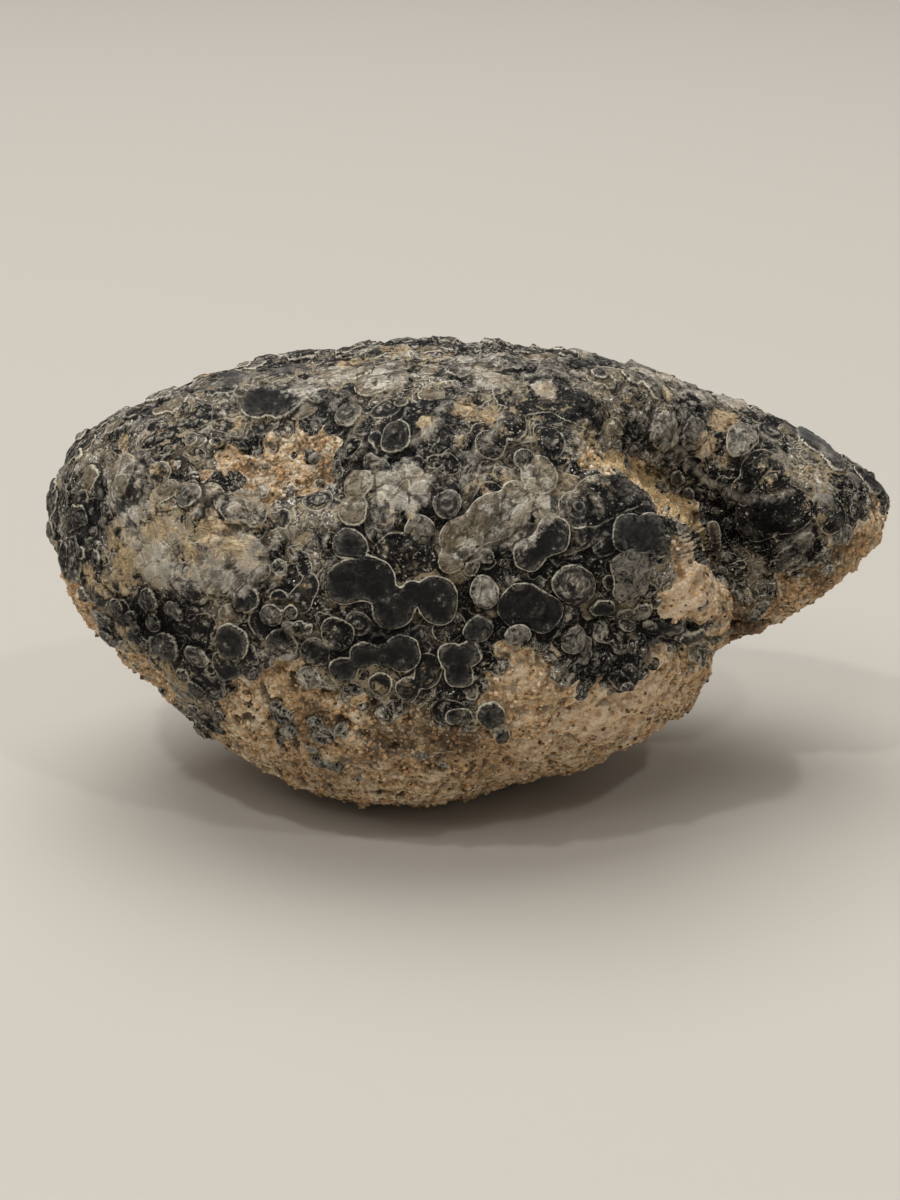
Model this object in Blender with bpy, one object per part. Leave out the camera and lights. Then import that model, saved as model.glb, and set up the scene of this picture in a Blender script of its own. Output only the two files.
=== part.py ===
"""A geode nodule: a full-bellied stone with a thinner wing, skinned with merged chalcedony discs.

The stone is one solid. It is worked out in the axes of its own face, in millimetres from a point
inside it, the heart: right, up, and forward out of the face. The face leans back, so these axes
are turned about X to stand the stone up. Places on the face are read as an eye in front of the
stone sees them, on a sight grid whose cell is a fixed share of the stone's length.
"""

import math

import bpy
import numpy as np

METRES = 0.001

# Driving dimensions, in millimetres and degrees
STONE_LENGTH = 110.0
FACE_LEAN = 22.0
FRONT_BULGE = 31.0
BACK_BULGE = 25.0
FOOT_CUT = 1.4
EYE_DISTANCE = 260.0

# The sight grid: cells along the stone, the cell of the heart, and the cell straight ahead of the eye
CELL = STONE_LENGTH / 847.0
HEART_CELL = (440.0, 565.0)
EYE_CELL = (450.0, 600.0)

# The outline round the face, in sight cells, from the left tip over the top
OUTLINE = [
    (50, 501), (65, 466), (102, 426), (152, 408), (197, 385), (243, 371), (290, 358), (341, 355),
    (408, 344), (470, 346), (529, 351), (598, 362), (647, 374), (694, 388), (734, 408), (784, 423),
    (828, 452), (856, 471), (890, 490), (898, 514), (875, 547), (843, 580), (802, 613), (756, 635),
    (714, 646), (713, 669), (705, 699), (667, 729), (611, 758), (559, 777), (505, 786), (455, 804),
    (400, 807), (344, 804), (290, 784), (238, 759), (195, 717), (145, 683), (103, 639), (71, 600),
    (56, 550),
]
CORNER_ROUNDING = 2.0
CORNER_REACH = 8
CRUST_DEPTH = 0.8

# The ledge where the lobe stands out from the wing, in sight cells along its lip. Its wall and the lobe's
# shoulder are so many millimetres wide, and the share along the lip at which something happens ends in _AT
LEDGE = [
    (556, 436), (582, 451), (610, 469), (640, 487), (668, 504), (692, 524), (706, 545), (718, 566),
    (729, 586), (733, 608), (730, 630), (720, 648), (708, 675), (690, 704), (655, 736),
]
LEDGE_FULL_AT = 0.32
WALL_TOP = 3.0
WALL_SIDE = 1.2
WALL_TURNS_AT = 0.4
WALL_TURNS_OVER = 0.12
WALL_MARGIN = 0.3
WALL_SPAN = (0.08, 0.97)
SHOULDER_START = 1.0
SHOULDER_END = 4.5
SHOULDER_SHARE = 0.4
WING_LEFT_AT_WALL = 0.24
WING_LEFT_OUT = 0.62
WING_RECOVERY = 12.0

# Broad swellings and hollows of the face: cell, radius in cells, and height in millimetres
SWELLINGS = [
    (635, 565, 95, 2.2), (375, 590, 70, 1.2), (222, 560, 52, 1.6), (126, 477, 34, 1.2),
    (480, 400, 90, 1.0), (272, 470, 62, -2.0), (430, 655, 80, -0.8), (815, 470, 60, 1.0),
    (752, 560, 36, -1.6),
]

# The hem of the crust, below which the sandy matrix is bare, in sight cells: on the face and on the back
HEM = [
    (47, 520), (62, 552), (80, 580), (94, 600), (105, 630), (125, 636), (140, 645), (160, 660), (178, 690),
    (190, 716), (205, 733), (218, 732), (224, 690), (230, 668), (264, 652), (293, 659), (320, 676),
    (330, 688), (365, 698), (395, 708), (420, 702), (452, 718), (470, 722), (478, 700), (484, 672),
    (500, 650), (530, 643), (548, 648), (560, 664), (566, 684), (590, 690), (620, 690), (640, 686),
    (648, 662), (665, 654), (693, 657), (712, 645), (727, 560), (741, 575), (752, 600), (765, 604),
    (778, 575), (799, 566), (830, 558), (848, 545), (853, 520), (862, 506), (894, 497),
]
BACK_HEM = [
    (47, 535), (110, 600), (180, 660), (250, 640), (320, 590), (390, 605), (450, 640), (520, 600),
    (590, 560), (680, 590), (740, 570), (810, 530), (894, 500),
]
HEM_TURN = 9.0

# Windows in the crust where the matrix shows, as discs: cell and radius in cells
WINDOWS = [
    (218, 462, 14), (240, 470, 24), (272, 478, 27), (305, 468, 25), (285, 446, 17), (262, 492, 15),
    (318, 446, 14), (246, 520, 8), (698, 588, 31), (690, 566, 20), (703, 613, 21), (680, 592, 20),
    (129, 444, 6), (590, 452, 8), (610, 456, 8), (716, 633, 15),
]

# Plates of the crust, each a group of discs that grew into one: cell and radius in cells
TOP_PLATES = [
    [(352, 546, 15), (349, 585, 19), (372, 580, 20), (391, 608, 19), (412, 593, 10), (438, 598, 20)],
    [(553, 534, 15), (527, 555, 14), (540, 544, 11)],
    [(628, 531, 15), (648, 532, 15), (664, 546, 9)],
    [(343, 665, 14), (364, 652, 13), (384, 655, 12), (403, 652, 18)],
    [(453, 655, 13), (474, 652, 12), (462, 670, 14)],
    [(485, 706, 14), (494, 725, 8)],
    [(806, 446, 22), (826, 466, 15)],
    [(246, 596, 15)],
    [(238, 638, 18)],
    [(606, 605, 13)],
    [(481, 627, 14)],
    [(634, 610, 9), (632, 625, 10)],
    [(799, 541, 10), (789, 551, 11), (779, 561, 9)],
    [(232, 514, 12), (250, 517, 12), (222, 506, 8)],
    [(288, 622, 6), (300, 623, 7), (311, 626, 5)],
    [(206, 682, 11), (193, 668, 8)],
    [(175, 643, 15)],
    [(487, 558, 7), (473, 570, 7)],
    [(524, 462, 10)],
    [(121, 600, 9), (112, 612, 5)],
    [(136, 611, 8), (142, 623, 6)],
    [(152, 596, 11)],
    [(158, 619, 10)],
    [(112, 628, 8)],
    [(94, 592, 7)],
    [(286, 638, 14)],
    [(272, 612, 10), (290, 608, 7)],
    [(201, 699, 7)],
    [(213, 722, 8)],
    [(88, 556, 7)],
    [(104, 558, 7), (100, 545, 5)],
    [(575, 582, 20)],
    [(262, 408, 20), (287, 406, 21)],
    [(637, 563, 19), (635, 581, 18)],
    [(482, 372, 22), (502, 368, 20), (459, 378, 16)],
    [(449, 503, 12)],
    [(193, 498, 11)],
    [(181, 609, 11)],
    [(204, 652, 12)],
    [(319, 402, 11)],
    [(352, 423, 12)],
    [(487, 591, 13)],
    [(573, 639, 13)],
    [(652, 607, 10), (656, 622, 9)],
    [(516, 634, 11)],
    [(738, 444, 15)],
    [(651, 433, 16)],
    [(464, 536, 20), (491, 520, 23), (514, 500, 16), (452, 560, 12)],
    [(392, 375, 17), (376, 393, 20), (358, 380, 13)],
    [(540, 478, 18)],
    [(361, 488, 15)],
    [(407, 490, 14)],
    [(355, 512, 15)],
    [(126, 477, 21)],
]
MIDDLE_PLATES = [
    [(520, 405, 26), (550, 400, 28), (575, 412, 28), (510, 432, 17), (490, 450, 14)],
    [(400, 560, 28), (425, 555, 22)],
    [(600, 500, 22), (622, 494, 18), (588, 514, 14)],
    [(673, 511, 5), (682, 518, 5), (690, 526, 5)],
    [(340, 630, 15)],
    [(450, 625, 16)],
    [(760, 515, 22), (790, 510, 21), (822, 512, 18)],
    [(762, 470, 18), (778, 482, 15), (750, 486, 11)],
    [(105, 590, 12), (125, 605, 13)],
    [(523, 606, 22), (540, 612, 18)],
    [(430, 668, 14), (380, 682, 12), (410, 684, 12)],
    [(458, 709, 11)],
    [(400, 445, 15)],
    [(577, 511, 17)],
    [(700, 402, 11)],
    [(690, 435, 14)],
    [(650, 395, 14), (628, 385, 12)],
    [(422, 530, 15)],
]
# Islands of crust on the bare matrix, past the hem
ISLANDS = [
    [(286, 712, 11), (293, 730, 9), (279, 703, 6)],
    [(315, 721, 8), (325, 734, 10), (340, 730, 7)],
    [(316, 748, 8), (323, 760, 9), (337, 764, 8)],
    [(422, 747, 6), (440, 756, 5)],
    [(282, 738, 5)],
    [(362, 775, 4)],
    [(128, 652, 4), (140, 662, 5)],
    [(152, 672, 5), (166, 686, 6)],
    [(173, 700, 5)],
    [(752, 612, 7), (762, 604, 6)],
    [(655, 668, 5)],
    [(690, 668, 4)],
    [(309, 675, 13)],
]

# Plates that fill the crust between those, per layer: seed, gap between plates as a share, and radii in millimetres
BED_SCATTER = {"seed": 3, "gap": 0.62, "radii": (1.2, 2.4), "tries": 9000}
LOW_SCATTER = {"seed": 5, "gap": 1.2, "radii": (0.8, 2.2), "tries": 5000}
MIDDLE_SCATTER = {"seed": 7, "gap": 1.7, "radii": (0.8, 2.1), "tries": 4000}
TOP_SCATTER = {"seed": 9, "gap": 2.4, "radii": (0.7, 1.7), "tries": 2600}

# Such a plate: the share of its first disc's radius that has to lie on the crust, and its other discs, the buds:
# how many at most, and how far off and how large they are, as shares of that radius
SHARE_ON_CRUST = 0.5
MOST_BUDS = 3
BUD_STRIDE = (0.7, 1.1)
BUD_SIZE = (0.55, 0.95)
SMALLEST_TILT = 0.02

# Relief in millimetres: how high each layer of the crust stands, how far its edge is rounded, how its discs merge
BED_LEVEL = 0.4
LOW_LEVEL = 0.7
MIDDLE_LEVEL = 1.0
TOP_LEVEL = 1.35
EDGE_WIDTH = 1.6
DISC_MERGE = 0.22

# Unevenness under the crust and in the bare matrix: size and height of each noise, in millimetres, and its
# seed. A noise is a sum of waves whose lengths are spread about its size
WAVE_SPREAD = (0.7, 1.4)
LUMPS = [(26.0, 0.9), (11.0, 0.45)]
LUMP_SEED = 11
MATRIX_LUMPS = [(5.0, 0.35), (2.6, 0.22)]
MATRIX_SEED = 31

# How a place is closed in on from the cell at which the eye sees it: the first guess, and the steps taken
FIRST_FORWARD = 0.8 * FRONT_BULGE
SIGHT_STEPS = 8

# Points along the ledge's lip that places are measured from
LIP_POINTS = 150

# The square of points that is folded round the stone: columns, rows, how far out on it the outline lies,
# how flat the face is next to its width, and how evenly the face is shared out
COLUMNS = 91
ROWS = 51
OUTLINE_AT = 1.25
FACE_ASPECT = 0.56
FACE_EVENNESS = 0.3


def smooth_step(value):
    """0 below 0, 1 above 1, and an S-curve between."""
    share = np.clip(value, 0.0, 1.0)
    return share * share * (3.0 - 2.0 * share)


def wave_noise(places, size, seed, waves=24):
    """Smooth noise of about -1 to 1: a sum of plane waves about as long as size, in random directions."""
    random = np.random.default_rng(seed)
    direction = random.normal(size=(3, waves))
    direction /= np.linalg.norm(direction, axis=0)
    turns = direction / (size * random.uniform(*WAVE_SPREAD, waves))
    phase = random.uniform(0.0, 1.0, waves)
    return np.sin(2.0 * math.pi * (places @ turns + phase)).sum(axis=1) / math.sqrt(waves)


def from_cells(cells, forward=0.0):
    """Right and up, in millimetres, of sight cells on a surface that far forward: near things look larger."""
    cells = np.asarray(cells, float)[..., :2]
    eye = (np.array(EYE_CELL) - HEART_CELL) * (CELL, -CELL)
    away = (cells - EYE_CELL) * (CELL, -CELL)
    return eye + away * (1.0 - np.asarray(forward) / EYE_DISTANCE)[..., None]


def to_cells(places):
    """The sight cells at which the eye sees places on the stone."""
    eye = (np.array(EYE_CELL) - HEART_CELL) * (CELL, -CELL)
    away = (places[:, :2] - eye) / (1.0 - places[:, 2:] / EYE_DISTANCE)
    return away / (CELL, -CELL) + EYE_CELL


def outline_radius(angle):
    """Distance from the heart to the bare stone's outline at an angle round the face, its corners rounded off."""
    right, up = from_cells(OUTLINE).T
    turn = np.degrees(np.arctan2(up, right))
    degrees = np.arange(-180.0, 180.0)
    sharp = np.interp(degrees, turn, np.hypot(right, up), period=360.0)
    steps = np.arange(-CORNER_REACH, CORNER_REACH + 1)
    weights = np.exp(-0.5 * (steps / CORNER_ROUNDING) ** 2)
    rounded = sum(weight * np.roll(sharp, step) for weight, step in zip(weights, steps)) / weights.sum()
    return np.interp(np.degrees(angle), degrees, rounded, period=360.0) - CRUST_DEPTH


def ledge_lip():
    """The ledge's lip, right and up, closed in on from the cells at which the eye sees it on the bulge."""
    forward = np.zeros(len(LEDGE))
    for _ in range(SIGHT_STEPS):
        right, up = from_cells(LEDGE, forward).T
        share = np.hypot(right, up) / outline_radius(np.arctan2(up, right))
        forward = 0.5 * (forward + FRONT_BULGE * np.sqrt(1.0 - np.clip(share, 0.0, 1.0) ** 2))
    return from_cells(LEDGE, forward)


LIP = ledge_lip()


def past_ledge(right, up):
    """How far places lie past the ledge's lip, towards the wing, and what share along the ledge they are."""
    knots = np.arange(len(LIP))
    fine = np.linspace(0.0, knots[-1], LIP_POINTS)
    path = np.stack([np.interp(fine, knots, LIP[:, axis]) for axis in (0, 1)], axis=1)
    offset = np.stack([right, up], axis=1)[:, None, :] - path
    nearest = np.argmin((offset ** 2).sum(axis=2), axis=1)
    offset = offset[np.arange(len(offset)), nearest]
    run = np.gradient(path, axis=0)[nearest]
    side = np.sign(run[:, 0] * offset[:, 1] - run[:, 1] * offset[:, 0])
    return side * np.linalg.norm(offset, axis=1), fine[nearest] / knots[-1]


def wall_width(along):
    """How wide the ledge's wall is: it slopes at the top, where it is seen from above, and is steep at the side."""
    return WALL_TOP + (WALL_SIDE - WALL_TOP) * smooth_step((along - WALL_TURNS_AT) / WALL_TURNS_OVER)


def front_share(past, along):
    """The share of the front bulge that is left across the ledge.

    The lobe's shoulder rolls off like a quarter of an ellipse up to the lip, the wall drops the
    rest of the way, and the wing rises again beyond it.
    """
    full = smooth_step(along / LEDGE_FULL_AT)
    wall = wall_width(along)
    shoulder = SHOULDER_START + (SHOULDER_END - SHOULDER_START) * full
    rolled = 1.0 - np.sqrt(1.0 - np.clip(past / shoulder + 1.0, 0.0, 1.0) ** 2)
    dropped = SHOULDER_SHARE * rolled + (1.0 - SHOULDER_SHARE) * smooth_step(past / wall)
    recovery = smooth_step((past - wall) / WING_RECOVERY)
    left = WING_LEFT_AT_WALL + (WING_LEFT_OUT - WING_LEFT_AT_WALL) * recovery
    return 1.0 - (1.0 - left) * full * dropped


def bare_stone(angle, tilt):
    """Places on the stone without its crust, from an angle round the face and a tilt off the forward axis.

    A half plane through the forward axis cuts half an ellipse in front of the outline and half a
    flatter one behind it. Swellings, the ledge and noise then change how far forward that lies.
    """
    reach = outline_radius(angle) * np.sin(tilt)
    right, up = reach * np.cos(angle), reach * np.sin(angle)
    rise = np.cos(tilt)
    front = rise > 0.0
    forward = rise * np.where(front, FRONT_BULGE * front_share(*past_ledge(right, up)), BACK_BULGE)
    for *cell, radius, height in SWELLINGS:
        centre = from_cells(cell, FIRST_FORWARD)
        off = np.hypot(right - centre[0], up - centre[1]) / (radius * CELL)
        forward = forward + np.where(front, rise * height * np.exp(-off ** 2), 0.0)
    places = np.stack([right, up, forward], axis=1)
    swell = sum(height * wave_noise(places, size, LUMP_SEED + n) for n, (size, height) in enumerate(LUMPS))
    return places * (1.0 + swell * np.abs(rise) / FRONT_BULGE)[:, None]


def on_face(cells):
    """Places on the front of the bare stone that the eye sees at sight cells, closed in on step by step."""
    forward = np.full(len(cells), FIRST_FORWARD)
    for _ in range(SIGHT_STEPS):
        right, up = from_cells(cells, forward).T
        angle = np.arctan2(up, right)
        tilt = np.arcsin(np.clip(np.hypot(right, up) / outline_radius(angle), 0.0, 0.99))
        places = bare_stone(angle, tilt)
        forward = 0.5 * (forward + places[:, 2])
    return places


def crust_reach(places):
    """How far inside the crust's reach places lie: above the hem, out of the windows and off the ledge's wall."""
    column, row = to_cells(places).T
    face_hem = np.interp(column, *np.array(HEM, float).T)
    back_hem = np.interp(column, *np.array(BACK_HEM, float).T)
    hem = face_hem + (back_hem - face_hem) * smooth_step(-places[:, 2] / HEM_TURN)
    reach = (hem - row) * CELL
    for centre, (*_, radius) in zip(on_face(WINDOWS), WINDOWS):
        reach = np.minimum(reach, np.linalg.norm(places - centre, axis=1) - radius * CELL)
    past, along = past_ledge(places[:, 0], places[:, 1])
    half_wall = 0.5 * wall_width(along)
    off_wall = np.abs(past - half_wall) - half_wall - WALL_MARGIN
    beside_wall = (places[:, 2] > 0.0) & (along > WALL_SPAN[0]) & (along < WALL_SPAN[1])
    return np.where(beside_wall, np.minimum(reach, off_wall), reach)


def grouped(plates):
    """Discs of plates as places, radii, and the number of the plate that each belongs to."""
    discs = [disc for plate in plates for disc in plate]
    number = np.repeat(np.arange(len(plates)), [len(plate) for plate in plates])
    return on_face(discs), np.array([disc[2] for disc in discs]) * CELL, number


def scattered(seed, gap, radii, tries, taken=None):
    """Plates of one to four discs, tried at random over the crust and kept where they don't crowd the taken ones."""
    random = np.random.default_rng(seed)
    angle = random.uniform(-math.pi, math.pi, tries)
    tilt = np.arccos(random.uniform(-1.0, 1.0, tries))
    radius = random.uniform(*radii, tries)
    places = bare_stone(angle, tilt)
    kept, kept_radius = (np.empty((0, 3)), np.empty(0)) if taken is None else taken[:2]
    already = len(kept)
    chosen = []
    for n in np.flatnonzero(crust_reach(places) > SHARE_ON_CRUST * radius):
        apart = np.linalg.norm(kept - places[n], axis=1)
        if np.all(apart > gap * (kept_radius + radius[n])):
            kept = np.vstack([kept, places[n]])
            kept_radius = np.append(kept_radius, radius[n])
            chosen.append(n)
    buds = random.integers(0, MOST_BUDS + 1, len(chosen))
    number = np.repeat(np.arange(len(chosen)), buds)
    parent = np.array(chosen)[number]
    heading = random.uniform(0.0, 2.0 * math.pi, len(parent))
    stride = radius[parent] * random.uniform(*BUD_STRIDE, len(parent))
    bud_tilt = tilt[parent] + stride * np.sin(heading) / BACK_BULGE
    bud_tilt = np.clip(bud_tilt, SMALLEST_TILT, math.pi - SMALLEST_TILT)
    bud_angle = angle[parent] + stride * np.cos(heading) / (outline_radius(angle[parent]) * np.sin(bud_tilt))
    bud_radius = radius[parent] * random.uniform(*BUD_SIZE, len(parent))
    return (np.vstack([kept[already:], bare_stone(bud_angle, bud_tilt)]),
            np.append(kept_radius[already:], bud_radius), np.append(np.arange(len(chosen)), number))


def joined(first, second):
    """Two sets of plates as one, the second's numbers following on."""
    after = first[2].max() + 1
    return (np.vstack([first[0], second[0]]), np.append(first[1], second[1]),
            np.append(first[2], second[2] + after))


def inside_plates(places, plates):
    """How far inside the rim of the deepest plate places lie: discs of one plate merge, plates only meet."""
    centres, radii, number = plates
    deepest = np.full(len(places), -STONE_LENGTH)
    for plate in range(number.max() + 1):
        discs = number == plate
        apart = np.linalg.norm(places[:, None, :] - centres[discs], axis=2)
        nearest = (radii[discs] - apart).max(axis=1)
        merged = np.exp((radii[discs] - apart - nearest[:, None]) / DISC_MERGE).sum(axis=1)
        deepest = np.maximum(deepest, nearest + DISC_MERGE * np.log(merged))
    return deepest


def raise_to(height, level, depth):
    """Heights lifted to a level inside a rim, up a quarter-round edge."""
    share = np.clip(depth / EDGE_WIDTH, 0.0, 1.0)
    return height + (level - height) * np.sqrt(1.0 - (1.0 - share) ** 2)


def relief(places):
    """Height of the finished surface over the bare stone: bumpy matrix, and four layers of plates on it."""
    height = sum(lump * wave_noise(places, size, MATRIX_SEED + n) for n, (size, lump) in enumerate(MATRIX_LUMPS))
    drawn_middle, drawn_top = grouped(MIDDLE_PLATES), grouped(TOP_PLATES)
    drawn = joined(drawn_middle, drawn_top)
    layers = {
        BED_LEVEL: scattered(**BED_SCATTER),
        LOW_LEVEL: joined(grouped(ISLANDS), scattered(**LOW_SCATTER)),
        MIDDLE_LEVEL: joined(drawn_middle, scattered(**MIDDLE_SCATTER, taken=drawn)),
        TOP_LEVEL: joined(drawn_top, scattered(**TOP_SCATTER, taken=drawn)),
    }
    for level, plates in layers.items():
        height = raise_to(height, level, inside_plates(places, plates))
    return height


def folded_square(columns, rows):
    """Angle and tilt of each point of a square that is folded round the stone.

    The square's middle is the front of the stone. Its four corners come together at the back, and
    each side is folded at its middle. The distance from the middle, counted along the sides, gives
    the tilt, and the place between two axes of the square gives the angle.
    """
    across, along = np.meshgrid(np.linspace(-1, 1, columns), np.linspace(-1, 1, rows), indexing="ij")
    across, along = across.ravel(), along.ravel()
    far = np.abs(across) + np.abs(along)
    flipped_across = np.where(far > 1.0, 1.0 - np.abs(along), np.abs(across))
    flipped_along = np.where(far > 1.0, 1.0 - np.abs(across), np.abs(along))
    quarter = flipped_along / np.maximum(flipped_across + flipped_along, 1e-9) * math.pi / 2
    angle = np.arctan2(FACE_ASPECT * np.sin(quarter) * np.where(along < 0, -1, 1),
                       np.cos(quarter) * np.where(across < 0, -1, 1))
    share = np.clip(far / OUTLINE_AT, 0.0, 1.0)
    front = FACE_EVENNESS * np.arcsin(share) + (1.0 - FACE_EVENNESS) * share * math.pi / 2
    back = math.pi / 2 * (1.0 + (far - OUTLINE_AT) / (2.0 - OUTLINE_AT))
    return angle, np.where(far < OUTLINE_AT, front, back)


def folded_faces(columns, rows):
    """The square's quads, with the two halves of each side sewn together, and the points that they use."""
    sewn = np.arange(columns * rows).reshape(columns, rows)
    for side in (sewn[0], sewn[-1], sewn[:, 0], sewn[:, -1]):
        side[:] = np.maximum(side, side[::-1])
    quads = np.stack([sewn[:-1, :-1], sewn[1:, :-1], sewn[1:, 1:], sewn[:-1, 1:]], axis=2).reshape(-1, 4)
    used, renumbered = np.unique(quads, return_inverse=True)
    return used, renumbered.reshape(-1, 4)


def outward(places, quads):
    """Unit normals at the points, each the mean of its quads' normals."""
    corner = places[quads]
    flat = np.cross(corner[:, 2] - corner[:, 0], corner[:, 3] - corner[:, 1])
    total = np.zeros_like(places)
    for n in range(4):
        np.add.at(total, quads[:, n], flat)
    return total / np.linalg.norm(total, axis=1, keepdims=True)


def stood_up(places):
    """Upright axes from face axes: the face leans back, so its up tips away and its forward tips upward."""
    lean = math.radians(FACE_LEAN)
    right, up, forward = places.T
    return np.stack([
        right,
        up * math.sin(lean) - forward * math.cos(lean),
        up * math.cos(lean) + forward * math.sin(lean)], axis=1)


def set_down(places):
    """The stone moved over the origin and worn flat where it rests."""
    middle = 0.5 * (places.min(axis=0) + places.max(axis=0))
    floor = places[:, 2].min() + FOOT_CUT
    places = places - (middle[0], middle[1], floor)
    places[:, 2] = np.maximum(places[:, 2], 0.0)
    return places


def stone_material():
    """Dark chalcedony, the colour that most of the stone shows."""
    material = bpy.data.materials.new("stone")
    material.use_nodes = True
    shader = material.node_tree.nodes["Principled BSDF"]
    shader.inputs["Base Color"].default_value = (0.07, 0.055, 0.04, 1.0)
    shader.inputs["Roughness"].default_value = 0.5
    shader.inputs["Metallic"].default_value = 0.0
    return material


def geode():
    """The stone as one closed mesh object at its real size, in metres."""
    used, quads = folded_faces(COLUMNS, ROWS)
    angle, tilt = folded_square(COLUMNS, ROWS)
    bare = bare_stone(angle[used], tilt[used])
    finished = bare + outward(bare, quads) * relief(bare)[:, None]
    mesh = bpy.data.meshes.new("geode")
    mesh.from_pydata((set_down(stood_up(finished)) * METRES).tolist(), [], quads.tolist())
    mesh.materials.append(stone_material())
    mesh.shade_smooth()
    stone = bpy.data.objects.new("geode", mesh)
    bpy.context.scene.collection.objects.link(stone)


for old in list(bpy.data.objects):
    bpy.data.objects.remove(old)
geode()
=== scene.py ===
# %% [markdown]
# # A geode nodule
# The object is one stone, about 110 mm long. Its skin is dark chalcedony that grew as small discs,
# which merged into plates with pale rims and piled up in layers. Under the skin is a tan, sandy
# matrix, bare along the belly and in a few windows. This lesson works the whole surface out with
# numpy, so that every plate is real relief, and then paints it with a material that reads the
# same numbers that shaped it.

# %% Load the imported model
import math

import bpy
import numpy as np
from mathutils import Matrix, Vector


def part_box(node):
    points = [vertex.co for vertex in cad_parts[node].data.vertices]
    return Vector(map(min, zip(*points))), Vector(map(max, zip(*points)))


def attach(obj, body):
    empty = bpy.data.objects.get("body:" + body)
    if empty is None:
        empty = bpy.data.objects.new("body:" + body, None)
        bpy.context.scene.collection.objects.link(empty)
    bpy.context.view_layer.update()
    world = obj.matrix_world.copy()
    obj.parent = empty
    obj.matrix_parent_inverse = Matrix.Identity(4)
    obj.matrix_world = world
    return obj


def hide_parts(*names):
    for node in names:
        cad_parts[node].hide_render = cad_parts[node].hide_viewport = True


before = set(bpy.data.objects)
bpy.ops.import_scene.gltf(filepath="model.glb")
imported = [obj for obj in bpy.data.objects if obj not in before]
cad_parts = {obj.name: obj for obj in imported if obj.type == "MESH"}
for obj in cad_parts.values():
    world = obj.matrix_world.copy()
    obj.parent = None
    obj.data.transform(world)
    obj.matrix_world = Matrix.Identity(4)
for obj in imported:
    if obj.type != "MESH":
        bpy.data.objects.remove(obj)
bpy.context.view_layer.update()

# %% [markdown]
# ## The stone's own measures
# Every value is in millimetres or degrees, and is the one that the solid was made from. Places on the
# face are given on a sight grid, as an eye in front of the stone sees them, with a cell that is a
# fixed share of the stone's length. That way a plate sits where one looks for it.

# %% The measures of the stone
METRES = 0.001
STONE_LENGTH = 110.0
FACE_LEAN = 22.0
FRONT_BULGE = 31.0
BACK_BULGE = 25.0
FOOT_CUT = 1.4
EYE_DISTANCE = 260.0
CELL = STONE_LENGTH / 847.0
HEART_CELL = (440.0, 565.0)
EYE_CELL = (450.0, 600.0)

OUTLINE = [
    (50, 501), (65, 466), (102, 426), (152, 408), (197, 385), (243, 371), (290, 358), (341, 355),
    (408, 344), (470, 346), (529, 351), (598, 362), (647, 374), (694, 388), (734, 408), (784, 423),
    (828, 452), (856, 471), (890, 490), (898, 514), (875, 547), (843, 580), (802, 613), (756, 635),
    (714, 646), (713, 669), (705, 699), (667, 729), (611, 758), (559, 777), (505, 786), (455, 804),
    (400, 807), (344, 804), (290, 784), (238, 759), (195, 717), (145, 683), (103, 639), (71, 600),
    (56, 550),
]
CORNER_ROUNDING = 2.0
CORNER_REACH = 8
CRUST_DEPTH = 0.8

LEDGE = [
    (556, 436), (582, 451), (610, 469), (640, 487), (668, 504), (692, 524), (706, 545), (718, 566),
    (729, 586), (733, 608), (730, 630), (720, 648), (708, 675), (690, 704), (655, 736),
]
LEDGE_FULL_AT = 0.32
WALL_TOP = 3.0
WALL_SIDE = 1.2
WALL_TURNS_AT = 0.4
WALL_TURNS_OVER = 0.12
WALL_MARGIN = 0.3
WALL_SPAN = (0.08, 0.97)
SHOULDER_START = 1.0
SHOULDER_END = 4.5
SHOULDER_SHARE = 0.4
WING_LEFT_AT_WALL = 0.24
WING_LEFT_OUT = 0.62
WING_RECOVERY = 12.0
FIRST_FORWARD = 0.8 * FRONT_BULGE
SIGHT_STEPS = 8
OUTLINE_SHARE = 0.99
LIP_POINTS = 150

SWELLINGS = [
    (635, 565, 95, 2.2), (375, 590, 70, 1.2), (222, 560, 52, 1.6), (126, 477, 34, 1.2),
    (480, 400, 90, 1.0), (272, 470, 62, -2.0), (430, 655, 80, -0.8), (815, 470, 60, 1.0),
    (752, 560, 36, -1.6),
]
LUMPS = [(26.0, 0.9), (11.0, 0.45)]
LUMP_SEED = 11

# %% Where the crust ends: its hem on the face and on the back, and its windows
HEM = [
    (47, 520), (62, 552), (80, 580), (94, 600), (105, 630), (125, 636), (140, 645), (160, 660),
    (178, 690), (190, 716), (205, 733), (218, 732), (224, 690), (230, 668), (264, 652), (293, 659),
    (320, 676), (330, 688), (365, 698), (395, 708), (420, 702), (452, 718), (470, 722), (478, 700),
    (484, 672), (500, 650), (530, 643), (548, 648), (560, 664), (566, 684), (590, 690), (620, 690),
    (640, 686), (648, 662), (665, 654), (693, 657), (712, 645), (727, 560), (741, 575), (752, 600),
    (765, 604), (778, 575), (799, 566), (830, 558), (848, 545), (853, 520), (862, 506), (894, 497),
]
BACK_HEM = [
    (47, 535), (110, 600), (180, 660), (250, 640), (320, 590), (390, 605), (450, 640), (520, 600),
    (590, 560), (680, 590), (740, 570), (810, 530), (894, 500),
]
HEM_TURN = 9.0
WINDOWS = [
    (218, 462, 14), (240, 470, 24), (272, 478, 27), (305, 468, 25), (285, 446, 17), (262, 492, 15),
    (318, 446, 14), (246, 520, 8), (698, 588, 31), (690, 566, 20), (703, 613, 21), (680, 592, 20),
    (129, 444, 6), (590, 452, 8), (610, 456, 8), (716, 633, 15),
]

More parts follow.
